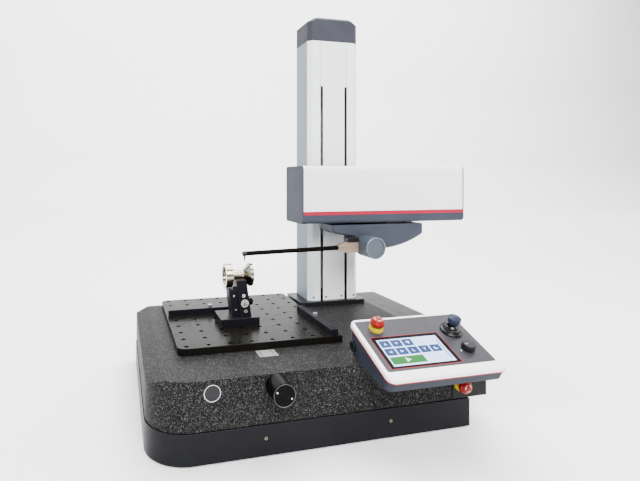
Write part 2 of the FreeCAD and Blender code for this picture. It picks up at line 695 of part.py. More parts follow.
def hole_plate():
    """Ground and blackened plate with a square grid of threaded holes."""
    body = new_body("hole_plate")
    grow(body, rectangle(sketch_on(body, XY), 0, 0, s.plate_length, s.plate_depth),
         s.plate_thick)
    soften(body, "Fillet", s.plate_corner_radius,
           lambda e: along(e, "Z") and at(e.BoundBox.XMin, 0))
    soften(body, "Chamfer", s.plate_edge,
           lambda e: lies_flat(e, s.plate_thick) and e.BoundBox.YMax < 0.01)
    hole = cut(body, circle(sketch_on(body, XY, s.plate_thick), s.grid_margin_x,
                            s.grid_margin_y, s.grid_hole_radius))
    repeat(body, hole, [("X", s.grid_pitch * (s.grid_columns - 1), s.grid_columns),
                        ("Y", s.grid_pitch * (s.grid_rows - 1), s.grid_rows)])
    place(body, s.plate_from_left, plate_front, plate_bottom)


def stop_bars():
    """Two bars bolted along hole rows, against which workpieces are laid."""
    body = new_body("stop_bars")
    rear_y = s.grid_margin_y + s.grid_pitch * s.rear_bar_row - s.bar_width / 2
    side_x = s.grid_margin_x + s.grid_pitch * (s.grid_columns - 1) - s.bar_width / 2
    bars = sketch_on(body, XY)
    rectangle(bars, s.rear_bar_inset, rear_y, s.rear_bar_length, s.bar_width)
    rectangle(bars, side_x, 0, s.bar_width, s.side_bar_length)
    grow(body, bars, s.bar_height)
    soften(body, "Chamfer", s.plate_edge, lambda e: lies_flat(e, s.bar_height))
    place(body, s.plate_from_left, plate_front, plate_top)


def stop_bar_screws():
    """Bright cap screws that hold the two bars, each over a hole of the grid."""
    body = new_body("stop_bar_screws")
    heads = sketch_on(body, XY)
    for column, row in ((s.rear_screw_column, s.rear_bar_row),
                        (s.grid_columns - 1, s.side_screw_row)):
        circle(heads, s.grid_margin_x + s.grid_pitch * column,
               s.grid_margin_y + s.grid_pitch * row, s.bar_screw_radius)
    grow(body, heads, s.bar_screw_height)
    soften(body, "Chamfer", s.plate_edge, lambda e: lies_flat(e, s.bar_screw_height))
    place(body, s.plate_from_left, plate_front, plate_top + s.bar_height)


def table_keys():
    """Two guide keys under the plate, which slide in grooves of the stone."""
    body = new_body("table_keys")
    for key_left in key_lefts:
        grow(body, rectangle(sketch_on(body, XY), key_left, s.key_run, s.key_width,
                             s.plate_depth - 2 * s.key_run), s.key_height)
    place(body, s.plate_from_left, plate_front, plate_bottom - s.key_height)


def spindle_nut():
    """Bronze nut block that hangs from the plate and rides on the table spindle."""
    body = new_body("spindle_nut")
    height = plate_bottom - s.knob_height + s.nut_width / 2
    grow(body, rectangle(sketch_on(body, XY), -(s.nut_width / 2), 0, s.nut_width,
                         s.nut_depth), height)
    bore = sketch_on(body, XZ)
    circle(bore, 0, s.nut_width / 2, s.spindle_radius + s.fit_clearance)
    cut(body, bore)
    place(body, s.knob_from_left, s.nut_from_front, s.knob_height - s.nut_width / 2)


def table_spindle():
    """Spindle from the knob through the stone to the nut block."""
    body = new_body("table_spindle")
    length = pocket_back + s.bush_length - s.spindle_end_gap - knob_back
    grow(body, circle(sketch_on(body, XZ), 0, 0, s.spindle_radius), length, back=True)
    place(body, s.knob_from_left, knob_back, s.knob_height)


def table_knob():
    """Round knob with a chamfered face, which moves the table."""
    body = new_body("table_knob")
    profile = sketch_on(body, XY)
    outline(profile, [(0, -s.knob_length), (s.knob_radius - s.knob_edge, -s.knob_length),
                      (s.knob_radius, s.knob_edge - s.knob_length),
                      (s.knob_radius, -s.knob_edge), (s.knob_radius - s.knob_edge, 0),
                      (0, 0)])
    revolve(body, profile)
    pins = sketch_on(body, XZ, s.knob_length)
    for side in (-1, 1):
        circle(pins, side * s.knob_pin_x, -side * s.knob_pin_z, s.knob_pin_radius)
    cut(body, pins, s.knob_pin_depth)
    place(body, s.knob_from_left, knob_back, s.knob_height)


def spindle_bearings():
    """Bushes of the table spindle and bearing blocks of the lift spindle."""
    body = new_body("spindle_bearings")
    for start in (s.stone_inset + s.bush_inset, pocket_back):
        bush = sketch_on(body, XZ, -start)
        circle(bush, s.knob_from_left, s.knob_height, s.bush_radius)
        circle(bush, s.knob_from_left, s.knob_height, s.spindle_radius + s.fit_clearance)
        grow(body, bush, s.bush_length, back=True)
    for bottom in (column_bottom, column_top - s.bearing_thick):
        block = sketch_on(body, XY, bottom)
        rectangle(block, column_middle - s.bearing_size / 2, lift_axis_y - s.bearing_size / 2,
                  s.bearing_size, column_back_wall - lift_axis_y + s.bearing_size / 2)
        circle(block, column_middle, lift_axis_y, s.lift_spindle_radius + s.fit_clearance)
        grow(body, block, s.bearing_thick)
    place(body, as_size(0), as_size(0), 0)


# clamping fixture and workpiece

def fixture_base():
    """Ground foot block of the clamping fixture."""
    body = new_body("fixture_base")
    grow(body, rectangle(sketch_on(body, XY), 0, 0, s.fixture_length, s.fixture_depth),
         s.fixture_height)
    soften(body, "Chamfer", s.plate_edge, lambda e: lies_flat(e, s.fixture_height))
    place(body, s.fixture_from_left, s.fixture_from_front, plate_top)


def fixture_post():
    """Leaning post with a cradle for a round workpiece and a lower jaw beside it."""
    body = new_body("fixture_post")
    lean = s.post_lean
    leaning_bar(body, as_size(0), s.post_width, s.post_height, lean, as_size(0), s.post_depth)
    low = s.post_height - s.jaw_drop
    leaning_bar(body, -s.jaw_width, s.jaw_width, low, lean * low / s.post_height,
                s.jaw_setback, s.post_depth - 2 * s.jaw_setback)
    cradle = sketch_on(body, YZ, -(s.post_width * 2))
    circle(cradle, s.work_from_front - post_front, s.work_height - s.fixture_height,
           s.tube_radius)
    cut(body, cradle, back=True)
    hole = sketch_on(body, YZ, s.post_width)
    circle(hole, s.post_depth / 2, s.thumb_height, s.thumb_stem_radius + s.fit_clearance)
    cut(body, hole, s.post_width * 3 / 4)
    place(body, post_left, post_front, fixture_top)


def leaning_bar(body, x, width, height, lean, y, depth):
    """A bar that leans to the left by a given amount over its height."""
    bar = sketch_on(body, XZ, -y)
    outline(bar, [(x, 0), (x + width, 0), (x + width - lean, height), (x - lean, height)])
    grow(body, bar, depth, back=True)


def fixture_screws():
    """Slotted clamping disc and cap screws on the fixture's front."""
    body = new_body("fixture_screws")
    lean = s.post_lean / s.post_height
    middle = s.post_width / 2
    disc = sketch_on(body, XZ)
    circle(disc, middle - lean * s.disc_height, s.disc_height, s.disc_radius)
    grow(body, disc, s.disc_thick)
    slot = sketch_on(body, XZ, s.disc_thick)
    rectangle(slot, middle - lean * s.disc_height - s.disc_slot / 2,
              s.disc_height - s.disc_radius, s.disc_slot, 2 * s.disc_radius)
    cut(body, slot, s.disc_thick / 2)
    heads = sketch_on(body, XZ)
    for height in (s.disc_height - s.post_screw_spread, s.disc_height + s.post_screw_spread):
        circle(heads, middle - lean * height, height, s.post_screw_radius)
    grow(body, heads, s.post_screw_show)
    small = sketch_on(body, XZ, -s.jaw_setback)
    for height in (s.jaw_screw_height, s.jaw_screw_height + s.jaw_screw_pitch):
        circle(small, -(s.jaw_width / 2) - lean * height, height, s.jaw_screw_radius)
    grow(body, small, s.post_screw_show)
    place(body, post_left, post_front, fixture_top)


def thumb_screw():
    """Knurled screw that tightens the jaw from the right."""
    body = new_body("thumb_screw")
    start = s.post_width - s.post_lean * s.thumb_height / s.post_height
    stem = sketch_on(body, YZ, start - s.post_width / 2)
    circle(stem, 0, 0, s.thumb_stem_radius)
    grow(body, stem, s.post_width / 2 + s.thumb_reach)
    head = sketch_on(body, YZ, start + s.thumb_reach)
    circle(head, 0, 0, s.thumb_radius)
    grow(body, head, s.thumb_length)
    soften(body, "Chamfer", s.plate_edge, lambda e: at(e.BoundBox.XMin, start + s.thumb_reach
           + s.thumb_length) and at(e.BoundBox.XMax, start + s.thumb_reach + s.thumb_length))
    place(body, post_left, post_front + s.post_depth / 2, fixture_top + s.thumb_height)


def workpiece():
    """Turned and polished steel piece: a recessed flange, a tube and a flared rim."""
    body = new_body("workpiece")
    profile = sketch_on(body, XZ)
    length = s.rim_end - s.flange_from_left
    cone_start = s.cone_from_left - s.flange_from_left
    outline(profile, [(s.flange_recess, s.tube_bore), (cone_start, s.tube_bore),
                      (length - s.rim_land, s.rim_radius - s.cone_wall),
                      (length, s.rim_radius - s.cone_wall), (length, s.rim_radius),
                      (length - s.rim_land, s.rim_radius), (cone_start, s.tube_radius),
                      (s.flange_thick, s.tube_radius), (s.flange_thick, s.flange_radius),
                      (0, s.flange_radius), (0, s.flange_recess_radius),
                      (s.flange_recess, s.flange_recess_radius)])
    revolve(body, profile, "H_Axis")
    place(body, s.flange_from_left, s.work_from_front, plate_top + s.work_height)


# column and lift

def column_base_plate():
    """Thick foot plate of the column."""
    body = new_body("column_base_plate")
    length = s.foot_plate_left + s.column_width + s.foot_plate_right
    depth = s.foot_plate_front + s.column_depth + s.foot_plate_back
    grow(body, rounded_rectangle(sketch_on(body, XY), 0, 0, length, depth, s.column_radius),
         s.foot_plate_thick)
    soften(body, "Chamfer", s.plate_edge, lambda e: lies_flat(e, s.foot_plate_thick))
    place(body, s.column_from_left - s.foot_plate_left,
          s.column_from_front - s.foot_plate_front, stone_top)


def column_profile():
    """Extruded column, open along the middle of its front."""
    body = new_body("column_profile")
    grow(body, rounded_rectangle(sketch_on(body, XY), 0, 0, s.column_width, s.column_depth,
                                 s.column_radius), s.column_height)
    inside = sketch_on(body, XY)
    rectangle(inside, s.column_wall, s.column_wall, s.column_width - 2 * s.column_wall,
              s.column_depth - 2 * s.column_wall)
    cut(body, inside, back=True)
    mouth = sketch_on(body, XY)
    rectangle(mouth, (s.column_width - s.cover_width) / 2, 0, s.cover_width, s.column_wall)
    cut(body, mouth, back=True)
    place(body, s.column_from_left, s.column_from_front, column_bottom)


def column_front_cover():
    """Sheet that closes the column's front but for two slots up to the end of the lift."""
    body = new_body("column_front_cover")
    narrow = s.cover_width / 2 - s.slot_width
    wide = s.cover_width / 2 - s.running_gap
    slot_height = s.slot_top - column_bottom
    sheet = sketch_on(body, XZ)
    outline(sheet, [(-narrow, 0), (narrow, 0), (narrow, slot_height), (wide, slot_height),
                    (wide, s.column_height), (-wide, s.column_height),
                    (-wide, slot_height), (-narrow, slot_height)])
    grow(body, sheet, s.cover_thick, back=True)
    place(body, column_middle, s.column_from_front, column_bottom)


def column_cap():
    """Hollow head of the column with bevelled shoulders, over the lift motor."""
    body = new_body("column_cap")
    shoulder = s.cap_height - s.cap_bevel_drop
    roof = sketch_on(body, XZ)
    outline(roof, [(0, 0), (s.column_width, 0), (s.column_width, shoulder),
                   (s.column_width - s.cap_bevel_width, s.cap_height),
                   (s.cap_bevel_width, s.cap_height), (0, shoulder)])
    grow(body, roof, s.column_depth, back=True)
    soften(body, "Fillet", s.column_radius, lambda e: along(e, "Z"))
    soften(body, "Chamfer", s.cap_edge,
           lambda e: along(e, "X") and lies_flat(e, s.cap_height) and e.BoundBox.YMax < 0.01)
    inside = sketch_on(body, XY)
    rectangle(inside, s.cap_wall, s.cap_wall, s.column_width - 2 * s.cap_wall,
              s.column_depth - 2 * s.cap_wall)
    cut(body, inside, shoulder - s.cap_wall, back=True)
    place(body, s.column_from_left, s.column_from_front, column_top)


def column_rails():
    """Two guide rails on the column's back wall."""
    body = new_body("column_rails")
    rails = sketch_on(body, XY)
    for side in (-1, 1):
        rectangle(rails, side * s.rail_spacing / 2 - s.rail_width / 2, -s.rail_height,
                  s.rail_width, s.rail_height)
    grow(body, rails, s.column_height - 2 * s.rail_end_gap)
    place(body, column_middle, column_back_wall, column_bottom + s.rail_end_gap)


def lift_motor():
    """Motor on top of the lift spindle's upper bearing."""
    body = new_body("lift_motor")
    half = s.motor_size / 2
    grow(body, rounded_rectangle(sketch_on(body, XY), -half, -half, s.motor_size,
                                 s.motor_size, s.motor_corner), s.motor_length)
    grow(body, circle(sketch_on(body, XY, s.motor_length), 0, 0, s.motor_size / 3),
         s.motor_boss)
    place(body, column_middle, lift_axis_y, column_top)


def lift_spindle():
    """Spindle that raises the drive unit."""
    body = new_body("lift_spindle")
    grow(body, circle(sketch_on(body, XY), 0, 0, s.lift_spindle_radius),
         s.column_height - 2 * s.spindle_end_gap)
    place(body, column_middle, lift_axis_y, column_bottom + s.spindle_end_gap)


def lift_carriage():
    """Plate that grips the rails, its nut block, and two webs through the column's slots."""
    body = new_body("lift_carriage")
    width = s.rail_spacing + s.block_width
    grip_front = -(s.rail_height + s.running_gap)
    plate_face = grip_front - s.carriage_thick
    grow(body, rectangle(sketch_on(body, XY), -(width / 2), plate_face, width,
                         s.carriage_thick), s.carriage_height)
    ear = (s.block_width - s.rail_width) / 2 - s.running_gap
    grips = sketch_on(body, XY)
    for side in (-1, 1):
        left = side * s.rail_spacing / 2 - s.block_width / 2
        rectangle(grips, left, grip_front, ear, s.grip_depth)
        rectangle(grips, left + s.block_width - ear, grip_front, ear, s.grip_depth)
    low = grow(body, grips, s.block_height)
    repeat(body, low, [("Z", s.carriage_height - s.block_height, 2)])
    webs = sketch_on(body, XY)
    reach = drive_back - column_back_wall
    for side in (-1, 1):
        middle = side * (s.cover_width - s.slot_width) / 2
        rectangle(webs, middle - s.web_thick / 2, reach, s.web_thick, plate_face - reach)
    grow(body, webs, s.carriage_height)
    axis_y = lift_axis_y - column_back_wall
    nut = sketch_on(body, XY, (s.carriage_height - s.lift_nut_length) / 2)
    rectangle(nut, -s.lift_nut_radius, axis_y - s.lift_nut_radius, 2 * s.lift_nut_radius,
              plate_face - axis_y + s.lift_nut_radius)
    grow(body, nut, s.lift_nut_length)
    bore = sketch_on(body, XY)
    circle(bore, 0, axis_y, s.lift_spindle_radius + s.fit_clearance)
    cut(body, bore, back=True)
    place(body, column_middle, column_back_wall,
          s.drive_bottom + (s.drive_height - s.carriage_height) / 2)


# drive unit

def seat_in_drive(body):
    """Place a sub-part that is drawn from the drive unit's lower front left corner."""
    place(body, s.drive_from_left, s.drive_from_front, s.drive_bottom)


def drive_frame():
    """Back plate of the drive unit with the two brackets of its rail."""
    body = new_body("drive_frame")
    back = sketch_on(body, YZ, s.end_cap_thick)
    rectangle(back, frame_front, s.frame_inset, s.frame_plate,
              s.drive_height - 2 * s.frame_inset)
    grow(body, back, s.drive_length - 2 * s.end_cap_thick)
    soften(body, "Fillet", s.frame_round,
           lambda e: along(e, "X") and at(e.BoundBox.YMin, s.drive_depth))
    for left in (s.end_cap_thick, right_bracket_left):
        bracket = sketch_on(body, YZ, left)
        rectangle(bracket, s.bracket_setback, s.bracket_low,
                  frame_front - s.bracket_setback, s.bracket_tall)
        circle(bracket, s.traverse_spindle_from_front, rail_bar_middle,
               s.traverse_spindle_radius + s.fit_clearance)
        grow(body, bracket, s.bracket_thick)
    seat_in_drive(body)


def drive_cover():
    """White hood over the drive unit's front and top."""
    body = new_body("drive_cover")
    low = s.trough_height + s.stripe_height
    high, sheet, bend = s.drive_height, s.drive_sheet, s.drive_radius
    hood = sketch_on(body, YZ, s.end_cap_thick)
    outline(hood, [(0, low), (sheet, low), (sheet, high - bend),
                   (bend, high - sheet, sheet - bend), (frame_front, high - sheet),
                   (frame_front, high), (bend, high), (0, high - bend, bend)])
    grow(body, hood, s.drive_length - 2 * s.end_cap_thick)
    seat_in_drive(body)


def drive_trough():
    """Floor and lower front of the drive unit, with the slot for the carriage's neck."""
    body = new_body("drive_trough")
    sheet, bend = s.drive_sheet, s.drive_radius
    trough = sketch_on(body, YZ, s.end_cap_thick)
    outline(trough, [(frame_front, 0), (frame_front, sheet), (bend, sheet),
                     (sheet, bend, sheet - bend), (sheet, s.trough_height),
                     (0, s.trough_height), (0, bend), (bend, 0, bend)])
    grow(body, trough, s.drive_length - 2 * s.end_cap_thick)
    slot = sketch_on(body, XY)
    rectangle(slot, neck_left - s.travel_left - s.travel_spare, neck_front - s.travel_spare,
              s.neck_length + s.travel_left + s.travel_right + 2 * s.travel_spare,
              s.neck_depth + 2 * s.travel_spare)
    cut(body, slot, s.drive_sheet, back=True)
    seat_in_drive(body)


def drive_stripe():
    """Red strip between the trough and the hood, a little proud of both."""
    body = new_body("drive_stripe")
    strip = sketch_on(body, YZ, s.end_cap_thick)
    rectangle(strip, -s.stripe_proud, s.trough_height, s.stripe_proud + s.drive_sheet,
              s.stripe_height)
    grow(body, strip, s.drive_length - 2 * s.end_cap_thick)
    seat_in_drive(body)


def drive_end_caps():
    """The two end plates of the drive unit."""
    body = new_body("drive_end_caps")
    deep, high, bend = s.drive_depth, s.drive_height, s.drive_radius
    curl = s.end_cap_back_radius
    for left in (as_size(0), s.drive_length - s.end_cap_thick):
        end = sketch_on(body, YZ, left)
        outline(end, [(deep, curl), (deep, high - curl), (deep - curl, high, curl),
                      (bend, high), (0, high - bend, bend), (0, bend), (bend, 0, bend),
                      (deep - curl, 0)], curl)
        grow(body, end, s.end_cap_thick)
    seat_in_drive(body)


def traverse_rail():
    """Straight guide bar between the brackets."""
    body = new_body("traverse_rail")
    start = s.end_cap_thick + s.bracket_thick
    bar = sketch_on(body, YZ, start)
    rectangle(bar, s.rail_bar_from_front, s.rail_bar_above, s.rail_bar_depth,
              s.rail_bar_height)
    grow(body, bar, right_bracket_left - start)
    seat_in_drive(body)


def traverse_motor():
    """Motor of the traverse, on the right bracket."""
    body = new_body("traverse_motor")
    half = s.traverse_motor_size / 2
    box = sketch_on(body, YZ, traverse_motor_left)
    rounded_rectangle(box, s.traverse_spindle_from_front - half, rail_bar_middle - half,
                      s.traverse_motor_size, s.traverse_motor_size, s.motor_corner)
    grow(body, box, s.traverse_motor_length)
    seat_in_drive(body)


def traverse_spindle():
    """Spindle that moves the probe sideways."""
    body = new_body("traverse_spindle")
    start = s.end_cap_thick + s.spindle_end_gap
    rod = sketch_on(body, YZ, start)
    circle(rod, s.traverse_spindle_from_front, rail_bar_middle, s.traverse_spindle_radius)
    grow(body, rod, traverse_motor_left - s.running_gap - start)
    seat_in_drive(body)


def traverse_carriage():
    """Carriage round the guide bar, with its nut and the neck that carries the probe."""
    body = new_body("traverse_carriage")
    gap, wall = s.running_gap, s.carriage_wall
    ring_front = s.rail_bar_from_front - gap - wall
    ring_bottom = s.rail_bar_above - gap - wall
    ring = sketch_on(body, YZ, s.carriage_left)
    rectangle(ring, ring_front, ring_bottom, s.rail_bar_depth + 2 * (gap + wall),
              s.rail_bar_height + 2 * (gap + wall))
    rectangle(ring, s.rail_bar_from_front - gap, s.rail_bar_above - gap,
              s.rail_bar_depth + 2 * gap, s.rail_bar_height + 2 * gap)
    grow(body, ring, s.carriage_length)
    nut = sketch_on(body, YZ, s.carriage_left)
    nut_front = s.traverse_spindle_from_front - s.traverse_nut_radius
    rectangle(nut, nut_front, rail_bar_middle - s.traverse_nut_radius,
              ring_front - nut_front, 2 * s.traverse_nut_radius)
    circle(nut, s.traverse_spindle_from_front, rail_bar_middle,
           s.traverse_spindle_radius + s.fit_clearance)
    grow(body, nut, s.traverse_nut_length)
    neck = sketch_on(body, XY, -s.pod_gap)
    rectangle(neck, neck_left, neck_front, s.neck_length, s.neck_depth)
    grow(body, neck, ring_bottom + s.pod_gap)
    seat_in_drive(body)


# probe

def probe_housing():
    """Moulded housing of the probe, with a boss bored for the pivot."""
    body = new_body("probe_housing")
    side = sketch_on(body, XZ)
    outline(side, [(0, 0), (s.pod_nose_in, -s.pod_nose_drop),
                   (s.pod_chin_in, -s.pod_chin_drop, s.pod_chin_radius),
                   (s.pod_throat_in, -s.pod_throat_drop), (s.pod_belly_in, -s.pod_belly_drop),
                   (s.pod_low_in, -s.pod_low_drop, s.pod_belly_radius),
                   (s.pod_length, -s.pod_tail_drop, s.pod_tail_radius), (s.pod_length, 0)])
    grow(body, side, s.pod_depth, back=True)
    soften(body, "Chamfer", s.pod_edge,
           lambda e: (e.BoundBox.YMax < 0.01 or at(e.BoundBox.YMin, s.pod_depth))
           and not lies_flat(e, 0) and not at(e.BoundBox.XMin, s.pod_length))
    pivot = (s.pivot_from_left - s.pod_from_left, s.pivot_height - pod_top)
    grow(body, circle(sketch_on(body, XZ), *pivot, s.boss_radius), s.boss_length, back=True)
    bore = sketch_on(body, XZ)
    circle(bore, *pivot, s.pivot_radius + s.fit_clearance)
    cut(body, bore, s.pivot_length + s.spindle_end_gap)
    place(body, s.pod_from_left, s.pod_from_front, pod_top)


def seat_on_pivot(body, y):
    """Place a sub-part of the probe, drawn from the pivot axis, at the arm's rest angle."""
    place(body, s.pivot_from_left, y, s.pivot_height, (0, -1, 0), s.arm_droop)


def pivot_hub():
    """Round hub with a dished face, turning on a pin in the probe housing."""
    body = new_body("pivot_hub")
    profile = sketch_on(body, XY)
    back = s.hub_length + s.pivot_length
    outline(profile, [(0, s.hub_dish), (s.hub_radius - s.hub_rim, s.hub_dish),
                      (s.hub_radius - s.hub_rim, 0), (s.hub_radius - s.hub_edge, 0),
                      (s.hub_radius, s.hub_edge), (s.hub_radius, s.hub_length),
                      (s.pivot_radius, s.hub_length), (s.pivot_radius, back), (0, back)])
    revolve(body, profile)
    seat_on_pivot(body, s.hub_front)


def arm_clamp():
    """Bronze clamp beside the hub, tapered towards the arm that it grips."""
    body = new_body("arm_clamp")
    right = -(s.hub_radius + s.running_gap)
    left = right - s.clamp_length
    high, low = s.clamp_height / 2, s.clamp_tip_height / 2
    block = sketch_on(body, XZ)
    outline(block, [(left, -low), (right - s.clamp_straight, -high), (right, -high),
                    (right, high), (right - s.clamp_straight, high), (left, low)])
    grow(body, block, s.clamp_depth, middle=True)
    bore = sketch_on(body, YZ, left)
    circle(bore, 0, 0, s.arm_radius)
    cut(body, bore, s.arm_grip, back=True)
    slit = sketch_on(body, YZ, left)
    rectangle(slit, -(s.clamp_depth / 2), -(s.clamp_slit / 2), s.clamp_depth, s.clamp_slit)
    cut(body, slit, s.arm_grip, back=True)
    seat_on_pivot(body, s.arm_from_front)


def arm_mount():
    """Black magnetic mount on top of the clamp."""
    body = new_body("arm_mount")
    left = -(s.hub_radius + s.running_gap + s.mount_length)
    box = sketch_on(body, XY, s.clamp_height / 2)
    rectangle(box, left, -(s.mount_depth / 2), s.mount_length, s.mount_depth)
    grow(body, box, s.mount_height)
    soften(body, "Chamfer", s.plate_edge,
           lambda e: lies_flat(e, s.clamp_height / 2 + s.mount_height))
    seat_on_pivot(body, s.arm_from_front)


def probe_arm():
    """Long straight arm, tapered from the clamp to its tip."""
    body = new_body("probe_arm")
    tip = s.ferrule_length / 2 - s.arm_reach
    clamped = -(s.hub_radius + s.running_gap + s.clamp_length)
    root = clamped + s.arm_grip
    rod = sketch_on(body, XZ)
    outline(rod, [(tip, 0), (root, 0), (root, s.arm_radius), (clamped, s.arm_radius),
                  (tip, s.arm_tip_radius)])
    revolve(body, rod, "H_Axis")
    seat_on_pivot(body, s.arm_from_front)


def stylus():
    """Bright ferrule at the arm's end with the downward needle."""
    body = new_body("stylus")
    ferrule = sketch_on(body, YZ, -(s.arm_reach + s.ferrule_length / 2))
    circle(ferrule, 0, 0, s.ferrule_radius)
    grow(body, ferrule, s.ferrule_length)
    shank_end = s.stylus_tip_length - s.stylus_drop
    needle = sketch_on(body, XZ)
    outline(needle, [(-s.stylus_radius - s.arm_reach, 0),
                     (-s.stylus_radius - s.arm_reach, shank_end),
                     (-s.stylus_tip_radius - s.arm_reach, -s.stylus_drop),
                     (s.stylus_tip_radius - s.arm_reach, -s.stylus_drop),
                     (s.stylus_radius - s.arm_reach, shank_end),
                     (s.stylus_radius - s.arm_reach, 0)])
    grow(body, needle, 2 * s.stylus_radius, middle=True)
    seat_on_pivot(body, s.arm_from_front)


# operator panel

def seat_on_panel(body, x, y, z):
    """Place a sub-part, drawn from its own axis, at a point of the panel's sloping plane."""
    place(body, s.panel_from_left + x,
          s.panel_from_front + y * tilt_cos - z * tilt_sin,
          s.panel_height + y * tilt_sin + z * tilt_cos, (1, 0, 0), s.panel_tilt)


def seat_in_panel(body):
    """Place a sub-part that is drawn on the panel's sloping plane."""
    place(body, s.panel_from_left, s.panel_from_front, s.panel_height, (1, 0, 0),
          s.panel_tilt)


def panel_bracket():
    """Bent plate on the stone that carries the panel, with a cross rib under its back."""
    body = new_body("panel_bracket")
    bend = sketch_on(body, YZ)
    drop = s.bracket_drop
    rib = s.bracket_rib_from_front
    outline(bend, [(0, 0), (s.bracket_back, 0), (s.bracket_back, s.bracket_sheet),
                   (rib + s.bracket_rib_depth, s.bracket_sheet),
                   (rib + s.bracket_rib_depth, s.bracket_sheet + s.bracket_rib_back),
                   (rib, s.bracket_sheet + s.bracket_rib_front),
                   (rib, s.bracket_sheet), (0, s.bracket_sheet),
                   (-s.bracket_reach, s.bracket_sheet - drop), (-s.bracket_reach, -drop)])
    grow(body, bend, s.bracket_width)
    place(body, s.panel_from_left + s.bracket_from_left, as_size(0), stone_top)


def panel_shell():
    """Hollow lower shell of the panel with a sloping underside and a round socket in its
    left side."""
    body = new_body("panel_shell")
    side = sketch_on(body, YZ, s.shell_inset)
    outline(side, [(s.shell_inset, 0), (s.shell_front_in, -s.shell_front_drop),
                   (s.panel_slope - s.shell_back_in, -s.shell_back_drop),
                   (s.panel_slope - s.shell_inset, 0)])
    grow(body, side, s.panel_width - 2 * s.shell_inset)
    soften(body, "Fillet", s.panel_corner,
           lambda e: not along(e, "X") and e.BoundBox.ZLength > 1
           and (e.BoundBox.YMax < s.panel_slope.value / 2
                or e.BoundBox.YMin > s.panel_slope.value / 2))
    inside = sketch_on(body, XY)
    rectangle(inside, s.shell_wall, s.shell_wall, s.panel_width - 2 * s.shell_wall,
              s.panel_slope - 2 * s.shell_wall)
    cut(body, inside, s.shell_hollow)
    left = s.shell_inset - s.panel_socket_length
    socket = sketch_on(body, YZ, left)
    circle(socket, s.panel_socket_y, -s.panel_socket_drop, s.panel_socket_radius)
    grow(body, socket, s.panel_socket_length)
    mouth = sketch_on(body, YZ, left)
    circle(mouth, s.panel_socket_y, -s.panel_socket_drop,
           s.panel_socket_radius - s.panel_socket_rim)
    cut(body, mouth, s.panel_socket_deep, back=True)
    seat_in_panel(body)


def panel_seal():
    """Red seal between the shell and the bezel."""
    body = new_body("panel_seal")
    ring = sketch_on(body, XY)
    rounded_rectangle(ring, -s.seal_proud, -s.seal_proud, s.panel_width + 2 * s.seal_proud,
                      s.panel_slope + 2 * s.seal_proud, s.panel_corner)
    rectangle(ring, s.shell_wall, s.shell_wall, s.panel_width - 2 * s.shell_wall,
              s.panel_slope - 2 * s.shell_wall)
    grow(body, ring, s.seal_thick)
    seat_in_panel(body)


def control_holes(sketch):
    """Draw the holes for the emergency stop, the joystick and the dial."""
    circle(sketch, s.panel_stop_x, s.panel_stop_y, s.stop_stem_radius + s.control_clearance)
    circle(sketch, s.joystick_x, s.joystick_y, s.dome_radius + s.control_clearance)
    circle(sketch, s.dial_x, s.dial_y, s.dial_stem_radius + s.control_clearance)
    return sketch


def face_outline(sketch, grown=0):
    """The outline of the dark face plate, or of the recess that it lies in."""
    return rounded_rectangle(sketch, s.face_left - grown, s.face_front - grown,
                             s.panel_width - s.face_left - s.face_right + 2 * grown,
                             s.panel_slope - s.face_front - s.face_back + 2 * grown,
                             s.face_corner)


def panel_bezel():
    """White cover with a rounded edge and a recess for the face plate."""
    body = new_body("panel_bezel")
    grow(body, rounded_rectangle(sketch_on(body, XY, s.seal_thick), 0, 0, s.panel_width,
                                 s.panel_slope, s.panel_corner), s.bezel_thick)
    soften(body, "Fillet", s.bezel_round, lambda e: lies_flat(e, bezel_top))
    recess = face_outline(sketch_on(body, XY, bezel_top), s.control_clearance)
    cut(body, recess, bezel_top - face_bottom)
    cut(body, control_holes(sketch_on(body, XY, bezel_top)))
    seat_in_panel(body)


def panel_face():
    """Dark face plate with a window for the screen and holes for the controls."""
    body = new_body("panel_face")
    plate = face_outline(sketch_on(body, XY, face_bottom))
    control_holes(plate)
    gap = s.control_clearance
    rectangle(plate, s.screen_left - gap, s.screen_front - gap, s.screen_width + 2 * gap,
              s.screen_depth + 2 * gap)
    grow(body, plate, s.face_thick)
    seat_in_panel(body)


def panel_screen():
    """Touch screen in the face plate's window."""
    body = new_body("panel_screen")
    grow(body, rectangle(sketch_on(body, XY, face_bottom), s.screen_left, s.screen_front,
                         s.screen_width, s.screen_depth), s.screen_thick)
    seat_in_panel(body)


def panel_stop_collar():
    """Yellow collar of the emergency stop on the panel."""
    body = new_body("panel_stop_collar")
    revolve(body, collar_profile(sketch_on(body, XZ)))
    seat_on_panel(body, s.panel_stop_x, s.panel_stop_y, face_top)


def panel_stop_button():
    """Red mushroom head of the emergency stop on the panel."""
    body = new_body("panel_stop_button")
    revolve(body, head_profile(sketch_on(body, XZ)))
    seat_on_panel(body, s.panel_stop_x, s.panel_stop_y, face_top)


def joystick_boot():
    """Rubber ring round the joystick's dome."""
    body = new_body("joystick_boot")
    grow(body, circle(circle(sketch_on(body, XY), 0, 0, s.boot_radius), 0, 0,
                      s.dome_radius + s.control_clearance), s.boot_height)
    soften(body, "Chamfer", s.boot_edge,
           lambda e: lies_flat(e, s.boot_height) and e.BoundBox.XLength > 1.9 * s.boot_radius.value)
    seat_on_panel(body, s.joystick_x, s.joystick_y, face_top)


